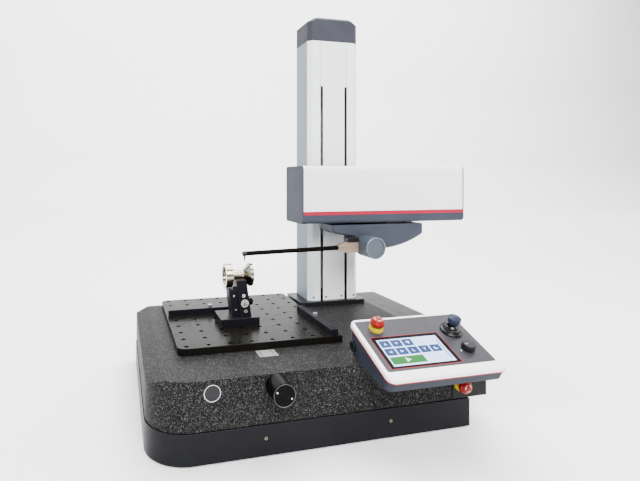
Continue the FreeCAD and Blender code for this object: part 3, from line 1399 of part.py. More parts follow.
def joystick_gimbal():
    """Dome that tips to the front and back, slotted for the stick."""
    body = new_body("joystick_gimbal")
    profile = sketch_on(body, XZ)
    half_width = Size("sqrt(%s)" % (s.dome_radius * s.dome_radius
                                    - s.dome_depth * s.dome_depth).formula,
                      math.sqrt(s.dome_radius.value ** 2 - s.dome_depth.value ** 2))
    outline(profile, [(0, -s.dome_depth), (half_width, -s.dome_depth),
                      (s.dome_radius, 0, s.dome_radius), (0, s.dome_radius, s.dome_radius)])
    revolve(body, profile)
    slot = sketch_on(body, XY, s.dome_radius)
    width = 2 * (s.stick_radius + s.stick_clearance)
    rectangle(slot, -s.stick_slot, -(width / 2), 2 * s.stick_slot, width)
    cut(body, slot, s.dome_radius + s.stick_radius + s.stick_clearance)
    seat_on_panel(body, s.joystick_x, s.joystick_y, face_top + s.dome_lift)


def joystick_stick():
    """Stick with a folded bellows and a round cap."""
    body = new_body("joystick_stick")
    profile = sketch_on(body, XZ)
    points = [(0, -s.stick_radius), (s.stick_radius, 0, s.stick_radius)]
    height = s.dome_radius + s.stick_clearance
    for fold in range(int(SIZES["bellows_count"])):
        outer = s.bellows_radius - fold * s.stick_clearance
        inner = outer - s.bellows_step
        start = height + fold * s.bellows_step
        points += [(inner, start), (outer, start + s.bellows_step / 2)]
    cap_bottom = s.stick_height
    cap_top = cap_bottom + s.stick_cap_height
    crown = (s.stick_cap_radius * s.stick_cap_radius / s.stick_cap_rise + s.stick_cap_rise) / 2
    points += [(s.stick_radius, height + s.bellows_count * s.bellows_step),
               (s.stick_radius, cap_bottom),
               (s.stick_cap_radius - s.stick_cap_edge, cap_bottom),
               (s.stick_cap_radius, cap_bottom + s.stick_cap_edge),
               (s.stick_cap_radius, cap_top - s.stick_cap_rise),
               (0, cap_top, crown)]
    points.insert(2, (s.stick_radius, height))
    outline(profile, points)
    revolve(body, profile)
    seat_on_panel(body, s.joystick_x, s.joystick_y, face_top + s.dome_lift)


def speed_knob():
    """Fluted speed dial with its stem through the face plate."""
    body = new_body("speed_knob")
    profile = sketch_on(body, XZ)
    outline(profile, [(0, -s.stop_stem_below), (s.dial_stem_radius, -s.stop_stem_below),
                      (s.dial_stem_radius, s.running_gap), (s.dial_radius, s.running_gap),
                      (s.dial_radius, s.dial_height - s.dial_edge),
                      (s.dial_radius - s.dial_edge, s.dial_height), (0, s.dial_height)])
    revolve(body, profile)
    seat_on_panel(body, s.dial_x, s.dial_y, face_top)


for build in (base_pan, base_feet, stone_supports, cover_screws, granite_plate, bore_plug,
              scale_plates, side_housing, housing_back_panel, stop_box,
              machine_stop_collar, machine_stop_button, hole_plate, stop_bars,
              stop_bar_screws, table_keys, spindle_nut, table_spindle, table_knob,
              spindle_bearings, fixture_base, fixture_post, fixture_screws, thumb_screw,
              workpiece, column_base_plate, column_profile, column_front_cover, column_cap,
              column_rails, lift_motor, lift_spindle, lift_carriage, drive_frame,
              drive_cover, drive_trough, drive_stripe, drive_end_caps, traverse_rail,
              traverse_motor, traverse_spindle, traverse_carriage, probe_housing,
              pivot_hub, arm_clamp, arm_mount, probe_arm, stylus, panel_bracket,
              panel_shell, panel_seal, panel_bezel, panel_face, panel_screen,
              panel_stop_collar, panel_stop_button, joystick_boot, joystick_gimbal,
              joystick_stick, speed_knob):
    build()

doc.recompute()


# checks and export

for item in doc.Objects:
    if "Invalid" in item.State or "Error" in item.State:
        raise RuntimeError("%s (%s) did not build" % (item.Name, item.Label))
for node in nodes:
    if node.Shape.isNull() or not node.Shape.isValid():
        raise RuntimeError(node.Label + " has no valid shape")

os.makedirs("parts", exist_ok=True)
for node in nodes:
    node.Shape.exportStep("parts/%s.step" % node.Label)
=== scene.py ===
import json
import math

import bmesh
import bpy
from mathutils import Matrix, Vector


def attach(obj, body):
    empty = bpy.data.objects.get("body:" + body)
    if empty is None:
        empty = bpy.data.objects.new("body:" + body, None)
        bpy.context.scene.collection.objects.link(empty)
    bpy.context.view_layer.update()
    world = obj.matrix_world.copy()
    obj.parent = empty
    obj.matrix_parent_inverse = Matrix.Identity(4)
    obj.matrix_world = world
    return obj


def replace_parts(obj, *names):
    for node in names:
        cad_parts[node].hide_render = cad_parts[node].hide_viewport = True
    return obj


# Contour measuring machine: looks, small details and the photograph's view. Metres, in the
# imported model's own frame: +X to the operator's right, +Y away, +Z up, origin at table level.

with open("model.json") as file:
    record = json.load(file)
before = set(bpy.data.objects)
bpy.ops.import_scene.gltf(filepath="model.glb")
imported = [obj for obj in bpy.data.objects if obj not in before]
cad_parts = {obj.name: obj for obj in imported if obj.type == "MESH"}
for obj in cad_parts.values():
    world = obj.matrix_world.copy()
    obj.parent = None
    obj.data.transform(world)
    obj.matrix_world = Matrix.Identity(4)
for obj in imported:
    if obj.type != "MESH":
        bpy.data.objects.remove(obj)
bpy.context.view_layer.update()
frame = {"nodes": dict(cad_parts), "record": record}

MM = 0.001


# shader node helpers

def fill(tree, node, inputs):
    """Set a node's inputs by name or number, each to a value or from a socket."""
    for name, given in inputs.items():
        if isinstance(given, bpy.types.NodeSocket):
            tree.links.new(given, node.inputs[name])
        else:
            node.inputs[name].default_value = given


def add(tree, kind, inputs=None, **settings):
    """Add a node to a tree with its settings and its inputs."""
    made = tree.nodes.new(kind)
    for name, setting in settings.items():
        setattr(made, name, setting)
    fill(tree, made, inputs or {})
    return made


def maths(tree, operation, *values):
    """A math node's result."""
    return add(tree, "ShaderNodeMath", dict(enumerate(values)), operation=operation).outputs[0]


def ramp(tree, factor, low, high, low_value=0.0, high_value=1.0):
    """Map a range of a value to another, held at its ends."""
    made = add(tree, "ShaderNodeMapRange", {"Value": factor, "From Min": low,
                                            "From Max": high, "To Min": low_value,
                                            "To Max": high_value})
    return made.outputs["Result"]


def blend(tree, factor, first, second):
    """Mix two colours."""
    return add(tree, "ShaderNodeMix", {0: factor, 6: first, 7: second},
               data_type="RGBA").outputs[2]


def noise(tree, vector, scale, detail=2.0, roughness=0.5):
    """A noise texture's value."""
    return add(tree, "ShaderNodeTexNoise", {"Vector": vector, "Scale": scale,
                                            "Detail": detail,
                                            "Roughness": roughness}).outputs[0]


def colour(red, green, blue):
    """A colour with full alpha."""
    return (red, green, blue, 1.0)


def grey(value):
    """A neutral colour."""
    return colour(value, value, value)


def scaled(base, factor):
    """A colour made darker or lighter."""
    return colour(*(min(1.0, channel * factor) for channel in base[:3]))


def new_group(name, inputs, outputs):
    """Start a shader group with float or vector sockets."""
    group = bpy.data.node_groups.new(name, "ShaderNodeTree")
    for title, kind, value in inputs:
        socket = group.interface.new_socket(title, in_out="INPUT", socket_type=kind)
        if value is not None:
            socket.default_value = value
    for title, kind in outputs:
        group.interface.new_socket(title, in_out="OUTPUT", socket_type=kind)
    return group, group.nodes.new("NodeGroupInput"), group.nodes.new("NodeGroupOutput")


FLOAT, INTEGER, VECTOR = "NodeSocketFloat", "NodeSocketInt", "NodeSocketVector"


def variation_group():
    """Cloudy marks and fine grain on a surface: where it is handled, dusty or textured."""
    group, entry, leave = new_group(
        "SurfaceVariation",
        [("Vector", VECTOR, None), ("Grain Scale", FLOAT, 900.0)],
        [("Mottle", FLOAT), ("Grain", FLOAT), ("Smudge", FLOAT)])
    vector = entry.outputs["Vector"]
    cloud = noise(group, vector, 9.0, 4.0, 0.6)
    smear = noise(group, vector, 34.0, 5.0, 0.7)
    fill(group, leave, {"Mottle": ramp(group, cloud, 0.3, 0.7),
                        "Grain": noise(group, vector, entry.outputs["Grain Scale"]),
                        "Smudge": ramp(group, smear, 0.52, 0.72)})
    return group


def edge_group():
    """How near a surface point is to an outer edge, by comparing rounded and true normals."""
    group, entry, leave = new_group("EdgeMask", [("Radius", FLOAT, 0.0012)],
                                    [("Edge", FLOAT), ("Normal", VECTOR)])
    rounded = add(group, "ShaderNodeBevel", {"Radius": entry.outputs["Radius"]}, samples=4)
    true = add(group, "ShaderNodeNewGeometry")
    turn = add(group, "ShaderNodeVectorMath", {0: rounded.outputs[0],
                                               1: true.outputs["Normal"]},
               operation="DOT_PRODUCT")
    fill(group, leave, {"Edge": ramp(group, turn.outputs["Value"], 0.99, 0.75),
                        "Normal": rounded.outputs[0]})
    return group


def lines_group():
    """Fine machining lines, straight along whichever way the place is stretched."""
    group, entry, leave = new_group(
        "MachiningLines", [("Vector", VECTOR, None), ("Lines", FLOAT, 900.0)],
        [("Lines", FLOAT)])
    streaks = noise(group, entry.outputs["Vector"], entry.outputs["Lines"], 3.0, 0.6)
    fill(group, leave, {"Lines": ramp(group, streaks, 0.25, 0.75)})
    return group


VARIATION, EDGES, LINES = variation_group(), edge_group(), lines_group()


def use_group(tree, group, inputs):
    """Use a shader group in a tree."""
    return add(tree, "ShaderNodeGroup", inputs, node_tree=group)


def new_material(name):
    """Start a material: its tree, its main shader and its object coordinates."""
    material = bpy.data.materials.new(name)
    material.use_nodes = True
    tree = material.node_tree
    shader = tree.nodes["Principled BSDF"]
    place = add(tree, "ShaderNodeTexCoord").outputs["Object"]
    return material, tree, shader, place


def raised(tree, mask, height, strength, distance):
    """The normal of a fine relief that lies over rounded edges."""
    return add(tree, "ShaderNodeBump", {"Strength": strength, "Distance": distance,
                                        "Height": height,
                                        "Normal": mask.outputs["Normal"]}).outputs["Normal"]


# how far from an edge paint, metal and stone are painted paler, partly for wear and partly as a
# painted highlight, and the tones those edges take
PAINT_EDGE, METAL_EDGE, STONE_EDGE = 0.0008, 0.0006, 0.0016
EDGE_WEAR_AND_GLINT_GREY, EDGE_WEAR_AND_GLINT_METAL = colour(0.16, 0.165, 0.175), grey(0.9)
EDGE_WEAR_AND_GLINT_STONE = colour(0.12, 0.12, 0.115)


def coated(name, base, roughness, metallic=0.0, grain=900.0, depth=0.08, mottle=0.12,
           edge=0.25, edge_colour=EDGE_WEAR_AND_GLINT_GREY, specular=0.5):
    """Paint, anodising, moulded plastic or rubber: cloudy tone, grain, paler edges for wear and
    a painted highlight.
    """
    material, tree, shader, place = new_material(name)
    vary = use_group(tree, VARIATION, {"Vector": place, "Grain Scale": grain})
    mask = use_group(tree, EDGES, {"Radius": PAINT_EDGE})
    tone = blend(tree, vary.outputs["Mottle"], scaled(base, 1 - mottle),
                 scaled(base, 1 + mottle))
    # paler edges: partly wear, partly a painted highlight along them
    wear_and_glint = maths(tree, "MULTIPLY", mask.outputs["Edge"], edge)
    fill(tree, shader, {
        "Base Color": blend(tree, wear_and_glint, tone, edge_colour), "Metallic": metallic,
        "Roughness": maths(tree, "MULTIPLY_ADD", vary.outputs["Smudge"], 0.10, roughness),
        "Specular IOR Level": specular,
        "Normal": raised(tree, mask, vary.outputs["Grain"], depth, 0.0004)})
    return material


def brushed(name, base, roughness, stretch=(1, 1, 60), lines=40.0, depth=0.06, edge=0.2,
            metallic=1.0, tint=0.1, specular=0.5):
    """Machined or anodised metal with lines along one direction."""
    material, tree, shader, place = new_material(name)
    squeezed = add(tree, "ShaderNodeMapping", {"Vector": place, "Scale": stretch})
    lined = use_group(tree, LINES, {"Vector": squeezed.outputs[0],
                                    "Lines": lines}).outputs["Lines"]
    vary = use_group(tree, VARIATION, {"Vector": place, "Grain Scale": 1500.0})
    mask = use_group(tree, EDGES, {"Radius": METAL_EDGE})
    darker = scaled(base, 1 - tint)
    tone = blend(tree, maths(tree, "MULTIPLY", vary.outputs["Mottle"], 0.15),
                 blend(tree, lined, darker, base), darker)
    # paler edges: partly wear, partly a painted highlight along them
    wear_and_glint = maths(tree, "MULTIPLY", mask.outputs["Edge"], edge)
    fill(tree, shader, {
        "Base Color": blend(tree, wear_and_glint, tone, EDGE_WEAR_AND_GLINT_METAL), "Metallic": metallic,
        "Roughness": maths(tree, "MULTIPLY_ADD", lined, 0.12, roughness),
        "Specular IOR Level": specular,
        "Normal": raised(tree, mask, lined, depth, 0.0002)})
    return material


def mineral(tree, cells, warmth, stops):
    """Grains of stone: each cell's own tone, most of them dark, a few pale."""
    node = add(tree, "ShaderNodeValToRGB", {0: cells.outputs["Color"]})
    elements = node.color_ramp.elements
    elements.remove(elements[-1])
    for index, (where, value) in enumerate(stops):
        tone = colour(value, value * 0.99, value * warmth)
        if index:
            elements.new(where).color = tone
        else:
            elements[0].position, elements[0].color = where, tone
    return node.outputs[0]


def granite():
    """Dark granite: black ground with fine pale mineral grains, lapped to a satin."""
    material, tree, shader, place = new_material("granite_stone")
    warp = add(tree, "ShaderNodeTexNoise", {"Vector": place, "Scale": 300.0, "Detail": 2.0})
    bent = blend(tree, 0.004, place, warp.outputs["Color"])
    coarse = add(tree, "ShaderNodeTexVoronoi", {"Vector": bent, "Scale": 330.0})
    fine = add(tree, "ShaderNodeTexVoronoi", {"Vector": bent, "Scale": 820.0})
    ground = mineral(tree, coarse, 0.95, ((0.0, 0.0008), (0.5, 0.0018), (0.68, 0.006),
                                          (0.8, 0.024), (1.0, 0.1)))
    sparkle = mineral(tree, fine, 0.96, ((0.0, 0.0008), (0.5, 0.002), (0.66, 0.013),
                                         (0.82, 0.065), (1.0, 0.28)))
    cloud = noise(tree, place, 14.0, 3.0, 0.6)
    toned = blend(tree, ramp(tree, cloud, 0.3, 0.75, 0.0, 0.3),
                  blend(tree, 0.55, ground, sparkle), colour(0.007, 0.007, 0.0068))
    mask = use_group(tree, EDGES, {"Radius": STONE_EDGE})
    # paler stone edges: partly wear, partly a painted highlight along them
    wear_and_glint = maths(tree, "MULTIPLY", mask.outputs["Edge"], 0.25)
    fill(tree, shader, {
        "Base Color": blend(tree, wear_and_glint, toned, EDGE_WEAR_AND_GLINT_STONE),
        "Roughness": ramp(tree, fine.outputs["Distance"], 0.0, 0.8, 0.42, 0.6),
        "Specular IOR Level": 0.06,
        "Normal": raised(tree, mask, fine.outputs["Distance"], 0.12, 0.0003)})
    return material


def glowing(name, base, strength):
    """A lit part of the screen, with a faint pixel pattern."""
    material, tree, shader, place = new_material(name)
    dots = noise(tree, place, 2200.0, 1.0)
    tone = blend(tree, ramp(tree, dots, 0.3, 0.7), base, scaled(base, 1.25))
    fill(tree, shader, {"Base Color": tone, "Emission Color": tone,
                        "Emission Strength": strength, "Roughness": 0.25,
                        "Specular IOR Level": 0.08})
    return material


# the finish of each slot, and the finishes that only details have

BLUE_GREY = colour(0.036, 0.041, 0.056)
SMOOTH_PAINT = {"mottle": 0.04, "edge": 0.0}
WHITE_PAINT = {"mottle": 0.015, "depth": 0.03, "edge": 0.0, "specular": 0.35}
UPRIGHT_LINES = {"stretch": (40, 40, 1), "lines": 30.0, "depth": 0.03, "metallic": 0.0,
                 "edge": 0.1}
MATERIALS = {
    "pan_paint": coated("pan_black", colour(0.0062, 0.0062, 0.0078), 0.36, grain=1400.0,
                        depth=0.05, specular=0.07),
    "rubber_feet": coated("rubber_black", grey(0.01), 0.75, edge=0.0, specular=0.1),
    "granite": granite(),
    "housing_paint": coated("housing_black", colour(0.012, 0.0125, 0.0145), 0.45,
                            grain=1100.0, depth=0.06, edge=0.3, specular=0.15),
    "back_panel_paint": coated("back_panel_grey", colour(0.025, 0.026, 0.028), 0.45,
                               specular=0.2),
    "box_black": coated("box_black", colour(0.005, 0.005, 0.0055), 0.4, specular=0.1),
    "stop_yellow": coated("stop_yellow", colour(0.38, 0.27, 0.0), 0.3, edge=0.0,
                          specular=0.25),
    "stop_red": coated("stop_red", colour(0.21, 0.0012, 0.0008), 0.3, edge=0.0,
                       specular=0.22),
    "plate_black": coated("plate_black", colour(0.0045, 0.0042, 0.0036), 0.26,
                          grain=1300.0, depth=0.0, edge=0.12, specular=0.035),
    "bar_black": coated("bar_black", colour(0.005, 0.005, 0.007), 0.34, depth=0.02,
                        edge=0.3, specular=0.05),
    "bright_steel": brushed("bright_steel", grey(0.6), 0.22),
    "polished_steel": brushed("polished_steel", colour(0.4, 0.355, 0.275), 0.12,
                              stretch=(60, 1, 1), lines=30.0, depth=0.03, edge=0.1),
    "dark_steel": brushed("dark_steel", colour(0.12, 0.12, 0.13), 0.35),
    "bronze": brushed("bronze", colour(0.27, 0.2, 0.145), 0.45, edge=0.3, metallic=0.4),
    "screw_brass": brushed("screw_brass", colour(0.26, 0.22, 0.14), 0.35),
    "scale_white": brushed("scale_white", colour(0.2, 0.2, 0.195), 0.4, metallic=0.1,
                           edge=0.1),
    "knob_black": coated("knob_black", colour(0.0015, 0.0015, 0.0018), 0.3, depth=0.01,
                         edge=0.15, specular=0.035),
    "column_silver": brushed("column_silver", colour(0.76, 0.765, 0.77), 0.38, tint=0.04,
                             specular=0.15, **UPRIGHT_LINES),
    "cover_silver": brushed("cover_silver", colour(0.72, 0.73, 0.74), 0.4, tint=0.04,
                            specular=0.15, **UPRIGHT_LINES),
    "cap_grey": coated("cap_grey", colour(0.033, 0.034, 0.043), 0.5, edge=0.15,
                       specular=0.07),
    "foot_plate_silver": coated("foot_plate_black", colour(0.007, 0.007, 0.008), 0.35,
                                edge=0.4, specular=0.15),
    "motor_black": coated("motor_black", grey(0.012), 0.5,
                          edge_colour=colour(0.55, 0.56, 0.58)),
    "cover_white": coated("cover_white", colour(0.8, 0.8, 0.79), 0.38, **WHITE_PAINT),
    "blue_grey": coated("trough_blue_grey", BLUE_GREY, 0.5, edge=0.15, specular=0.07),
    "pod_blue_grey": coated("pod_blue_grey", BLUE_GREY, 0.5, depth=0.1, edge=0.15,
                            specular=0.1),
    "stripe_red": coated("stripe_red", colour(0.28, 0.003, 0.026), 0.35, specular=0.25,
                         **SMOOTH_PAINT),
    # the hub's pale bluish edge colour is a painted highlight on its rim
    "hub_blue_grey": coated("hub_blue_grey", colour(0.05, 0.062, 0.08), 0.36, edge=0.35,
                            edge_colour=colour(0.4, 0.43, 0.48), specular=0.4),
    "mount_black": coated("mount_black", colour(0.006, 0.006, 0.007), 0.4, edge=0.2,
                          specular=0.12),
    "arm_black": coated("arm_black", colour(0.003, 0.002, 0.0015), 0.5, depth=0.01,
                        edge=0.0, specular=0.02),
    "panel_grey": coated("panel_grey", colour(0.019, 0.022, 0.031), 0.5, depth=0.1,
                         edge=0.15, specular=0.1),
    "seal_red": coated("seal_red", colour(0.33, 0.004, 0.006), 0.4, specular=0.2,
                       **SMOOTH_PAINT),
    "bezel_white": coated("bezel_white", colour(0.8, 0.8, 0.79), 0.32, **WHITE_PAINT),
    "face_dark": coated("face_dark", colour(0.027, 0.0265, 0.033), 0.45, edge=0.1,
                        specular=0.2),
    "screen_glass": coated("screen_black", colour(0.003, 0.003, 0.004), 0.5, depth=0.0,
                           edge=0.0, specular=0.04),
    "rubber_black": coated("boot_black", colour(0.004, 0.004, 0.0045), 0.22, depth=0.01,
                           edge=0.0, specular=0.35),
    # its bluish edge colour is a painted sheen on the stick's edges
    "stick_black": coated("stick_black", colour(0.013, 0.018, 0.034), 0.42, depth=0.02,
                          edge=0.15, edge_colour=colour(0.1, 0.12, 0.18), specular=0.15),
    "dial_black": coated("dial_black", colour(0.008, 0.008, 0.009), 0.4, edge=0.2,
                         specular=0.2),
}
OTHER_LOOKS = {"thumb_screw": "knob_black", "bore_plug": "housing_paint"}
slot_of = {entry["node"]: entry["material_slot"] for entry in frame["record"]["subparts"]}
for name, shown in frame["nodes"].items():
    shown.data.materials.clear()
    shown.data.materials.append(MATERIALS[OTHER_LOOKS.get(name, slot_of[name])])

NEEDLE_STEEL = brushed("needle_steel", colour(0.04, 0.039, 0.037), 0.34, edge=0.0)
SCREEN_PALE = glowing("screen_pale_blue", colour(0.36, 0.46, 0.66), 0.3)
SCREEN_BLUE = glowing("screen_tile_blue", colour(0.004, 0.021, 0.09), 0.3)
SCREEN_GREEN = glowing("screen_green", colour(0.002, 0.085, 0.01), 0.45)
SCREEN_WHITE = glowing("screen_white", colour(0.42, 0.46, 0.55), 0.2)
MARK_WHITE = coated("mark_white", colour(0.62, 0.58, 0.55), 0.4, mottle=0.03, edge=0.0)
# a darker blue-grey copy of the column silver for the column's long sides: painted shade
COLUMN_SIDE_SHADE = brushed("column_side_painted_shade", colour(0.2, 0.235, 0.27), 0.45, tint=0.06,
                      specular=0.12, **UPRIGHT_LINES)
# flat black without any sheen for the rings in the plate's holes: painted shade
HOLE_SHADE_BLACK = coated("hole_mouth_painted_shade", grey(0.001), 0.9, depth=0.0, mottle=0.0, edge=0.0,
                     specular=0.0)
# paler bluish metal for a ring on the hub's rim: a painted highlight
HUB_RIM_HIGHLIGHT = coated("hub_rim_painted_highlight", colour(0.3, 0.34, 0.4), 0.25, metallic=0.5, edge=0.0)


# places of the machine that the details lie on, in millimetres from the base's corner

ORIGIN_FROM_LEFT, ORIGIN_FROM_FRONT = 476.75, 228.46
PLATE_TOP, STONE_TOP, BAR_SCREW_TOP = 180.0, 164.0, 204.0
GRID_LEFT, GRID_FRONT, GRID_PITCH = 96.0, 150.0, 50.0
GRID_COLUMNS, GRID_ROWS = 8, 9
MOUTH_RADIUS, MOUTH_WIDTH, MOUTH_DEPTH = 4.8, 0.8, 0.6
BAR_SCREW_HOLES = ((2, 5), (7, 2))
BAR_SOCKET, SKIRT_SOCKET, COLUMN_SOCKET, FOOT_SOCKET = 2.9, 1.9, 1.7, 5.0
SCALES = (("scale_lines_left", 256.0), ("scale_lines_right", 284.0))
SCALE_FRONT, SCALE_COUNT, SCALE_STEP, SCALE_LINE = 96.0, 31, 1.0, (8.0, 0.16, 0.08)
LONG_LINES, LONG_LINE_FRONT, LONG_LINE = (259.8, 281.0), 94.0, (0.3, 34.0)
SKIRT_SCREWS, SKIRT_SCREW_FRONT, SKIRT_SCREW_HEIGHT = (234.0, 511.0), -1.5, 38.0
COLUMN_SCREWS, COLUMN_SCREW_HEIGHT = (530.0, 571.0, 623.0, 664.0), 187.5
COVER_FRONT = 458.0
PANEL_CORNER, PANEL_TILT = (438.2, -113.3, 167.6), math.radians(21.8)
FACE_TOP, SCREEN_TOP = 9.3, 9.5
SCREEN = (21.0, 30.0, 157.0, 87.0)
RED_LINE_GAP, RED_LINE_WIDTH, RED_LINE_HEIGHT = 1.4, 0.9, 0.12
LIT = (28.6, 34.6, 140.4, 74.8)
STOP_HEAD_TOP, STOP_CROWN, STOP_CROWN_RADIUS = 29.0, 2.4, 10.0
ARROW_INNER, ARROW_OUTER, ARROW_COUNT, ARROW_SWEEP = 6.0, 8.7, 3, math.radians(80)
MACHINE_STOP = (683.0, 0.0, 99.0)
PANEL_STOP, JOYSTICK, DIAL = (47.0, 143.5), (216.0, 118.4), (215.5, 61.8)
DOME_LIFT, DOME_RADIUS, DOME_FOLD, DOME_FOLD_SINK, DOME_FOLD_TUBE = 2.0, 17.0, 13.2, 0.1, 0.75
BOOT_FOLDS, CAP_LINE = ((21.8, 4.6, 1.3), (18.9, 5.4, 1.1)), (13.6, 25.5, 0.35)
DIAL_HEIGHT, RIB_COUNT, RIB_RADIUS, RIB, RIB_MIDDLE = 14.0, 36, 12.9, (0.9, 0.9, 10.5), 6.6
DIAL_MARK = ((20.5, 5.2), (19.2, 6.0), (15.4, 1.2), (16.6, 0.4))
DIAL_POINTER, MARK_HEIGHT, POINTER_HEIGHT = (-11.0, -0.5, 6.5, 1.0), 0.12, 0.1
SOCKET = (1.2, 141.0, -29.0)
KNOB = (256.0, 1.2, 141.0)
KNOB_LENGTH, KNOB_RADIUS, KNOB_LINE_INSETS = 50.0, 23.0, (1.9, 1.3)
KNOB_PIN_OUT, KNOB_PIN_DOWN = 14.5, 6.8
PLUG = (126.0, 2.0, 138.0)
POST_LEFT, POST_FRONT, FIXTURE_TOP = 254.0, 277.0, 200.0
POST_LEAN = 13.0 / 92.0
# right of the post's edge, behind its front, height on the post and radius
POST_SOCKETS = ((13.5, -3.0, 13.2, 2.2), (13.5, -3.0, 52.8, 2.2),
                (-10.5, 5.0, 16.0, 1.3), (-10.5, 5.0, 52.0, 1.3))
DISC, DISC_BORE, DISC_SLOT_TURNS = (13.5, -3.0, 33.0), 2.2, (30, 90, 150)
DISC_SLOT_OUT, DISC_SLOT_LENGTH, DISC_SLOT_WIDTH = 6.0, 5.6, 1.8
ARM_PIVOT, ARM_REACH, ARM_DROOP = (631.0, 318.0, 362.0), 357.5, math.radians(1.3)
ARM_END, CLAMP_MOUTH, ARM_ROOT, COLLAR_GAP = -352.0, -90.6, -72.0, 0.05
HUB_FRONT, HUB_RIM_RADIUS, HUB_RIM_BACK, HUB_RIM_TUBE = 265.0, 28.2, -0.35, 0.55
RECESS_CORNER, RECESS, RECESS_LINE = (660.0, 333.0, 411.0), (0, -4.0, 48.0, 5.0), (0.7, 0.08)
COLUMN_LEFT, COLUMN_FRONT, COLUMN_BOTTOM = 514.0, 459.5, 177.5
FOOT_SCREW = (497.0, 552.0, COLUMN_BOTTOM)
COLUMN_WIDTH, COLUMN_DEPTH, COLUMN_HEIGHT, COLUMN_WALL = 166.0, 108.0, 800.0, 5.0
COLUMN_BEVEL, COLUMN_BACK_CUT, COVER_WIDTH, SLOT_TOP = 13.0, 5.0, 89.0, 661.1
SLOT_WIDTH, SLOT_SHADE_STRIP, SEAM_WIDTH = 8.6, 0.3, 0.8
BAND_START, BAND_COUNT, BAND_STEP, BAND_LINK = (553.2, 461.8, 604.0), 11, 22.0, (1.3, 1, 10)
CAP_SHOULDER, CAP_HEIGHT, CAP_SLANT, CAP_FRONT_EDGE = 60.0, 74.0, 22.0, 7.0

# flat details sink this deep into their surface, turned ones keep this radius about their axis
SINK, CORE = 0.05, 0.05


# small forms, drawn in millimetres from a seat and kept in metres

def row_point(x, y, z):
    """A place measured from the base's front left corner, in the row frame, in metres."""
    return Vector((x - ORIGIN_FROM_LEFT, y - ORIGIN_FROM_FRONT, z)) * MM


def seat_at(place, out=(0, 0, 1), across=(1, 0, 0)):
    """A frame for drawing: its Z points out of the surface and its X lies across it."""
    z_axis = Vector(out).normalized()
    y_axis = z_axis.cross(Vector(across)).normalized()
    x_axis = y_axis.cross(z_axis)
    turn = Matrix((x_axis, y_axis, z_axis)).transposed().to_4x4()
    return Matrix.Translation(place) @ turn @ Matrix.Scale(MM, 4)


def on_front(x, y, z):
    """A seat on an upright face that looks at the operator."""
    return seat_at(row_point(x, y, z), (0, -1, 0))


def on_panel(x, y, z):
    """A seat on the panel's sloping plane."""
    out = (0.0, -math.sin(PANEL_TILT), math.cos(PANEL_TILT))
    back = Vector((0.0, math.cos(PANEL_TILT), math.sin(PANEL_TILT)))
    place = row_point(*PANEL_CORNER) + (Vector((x, 0, 0)) + back * y + Vector(out) * z) * MM
    return seat_at(place, out)


def piece(name, body, material, build, smooth=False):
    """Make one piece of the scene from a drawing function and let it ride on a body."""
    mesh = bpy.data.meshes.new(name)
    form = bmesh.new()
    build(form)
    bmesh.ops.recalc_face_normals(form, faces=form.faces)
    for face in form.faces:
        face.smooth = smooth
    form.to_mesh(mesh)
    form.free()
    mesh.materials.append(material)
    return placed(name, mesh, body)


def placed(name, mesh, body):
    """Link a mesh as a piece of its own and let it ride."""
    shown = bpy.data.objects.new(name, mesh)
    bpy.context.scene.collection.objects.link(shown)
    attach(shown, body)
    return shown


def turned(form, seat, profile, steps=64):
    """A closed half section of (radius, height) points turned about the seat's Z."""
    rings = []
    for step in range(steps):
        angle = math.tau * step / steps
        rings.append([form.verts.new(seat @ Vector((radius * math.cos(angle),
                                                    radius * math.sin(angle), height)))
                      for radius, height in profile])
    count = len(profile)
    for step, ring in enumerate(rings):
        following = rings[(step + 1) % steps]
        for index in range(count):
            after = (index + 1) % count
            form.faces.new((ring[index], ring[after], following[after], following[index]))


def bead(form, seat, radius, height, tube, steps=64, sides=10):
    """A round bead about the seat's Z."""
    profile = [(radius + tube * math.cos(math.tau * side / sides),
                height + tube * math.sin(math.tau * side / sides)) for side in range(sides)]
    turned(form, seat, profile, steps)


def plate(form, seat, outline, low, high):
    """A flat plate of any outline between two heights over the seat."""
    bottom = [form.verts.new(seat @ Vector((x, y, low))) for x, y in outline]
    top = [form.verts.new(seat @ Vector((x, y, high))) for x, y in outline]
    form.faces.new(top)
    form.faces.new(list(reversed(bottom)))
    for index in range(len(outline)):
        after = (index + 1) % len(outline)
        form.faces.new((bottom[index], bottom[after], top[after], top[index]))


def decal(form, seat, outline, height=0.06):
    """A flat mark that is sunk a little into its ground and stands a little out of it."""
    plate(form, seat, outline, -SINK, height)


def rounded_outline(x, y, width, height, radius, steps=5):
    """Points round a rectangle with rounded corners."""
    points = []
    for corner_x, corner_y, start in ((x + width - radius, y + radius, -90),
                                      (x + width - radius, y + height - radius, 0),
                                      (x + radius, y + height - radius, 90),
                                      (x + radius, y + radius, 180)):
        for step in range(steps + 1):
            angle = math.radians(start + 90 * step / steps)
            points.append((corner_x + radius * math.cos(angle),
                           corner_y + radius * math.sin(angle)))
    return points


def box_outline(x, y, width, height):
    """The four corners of a rectangle."""
    return [(x, y), (x + width, y), (x + width, y + height), (x, y + height)]


def frame_of_strips(form, seat, x, y, width, height, thick, low, high):
    """A rectangular line round an area."""
    for left, front, across, deep in (
            (x, y, width, thick), (x, y + height - thick, width, thick),
            (x, y + thick, thick, height - 2 * thick),
            (x + width - thick, y + thick, thick, height - 2 * thick)):
        plate(form, seat, box_outline(left, front, across, deep), low, high)


def polygon(radius, sides):
    """Corners of a regular polygon."""
    return [(radius * math.cos(math.tau * side / sides),
             radius * math.sin(math.tau * side / sides)) for side in range(sides)]


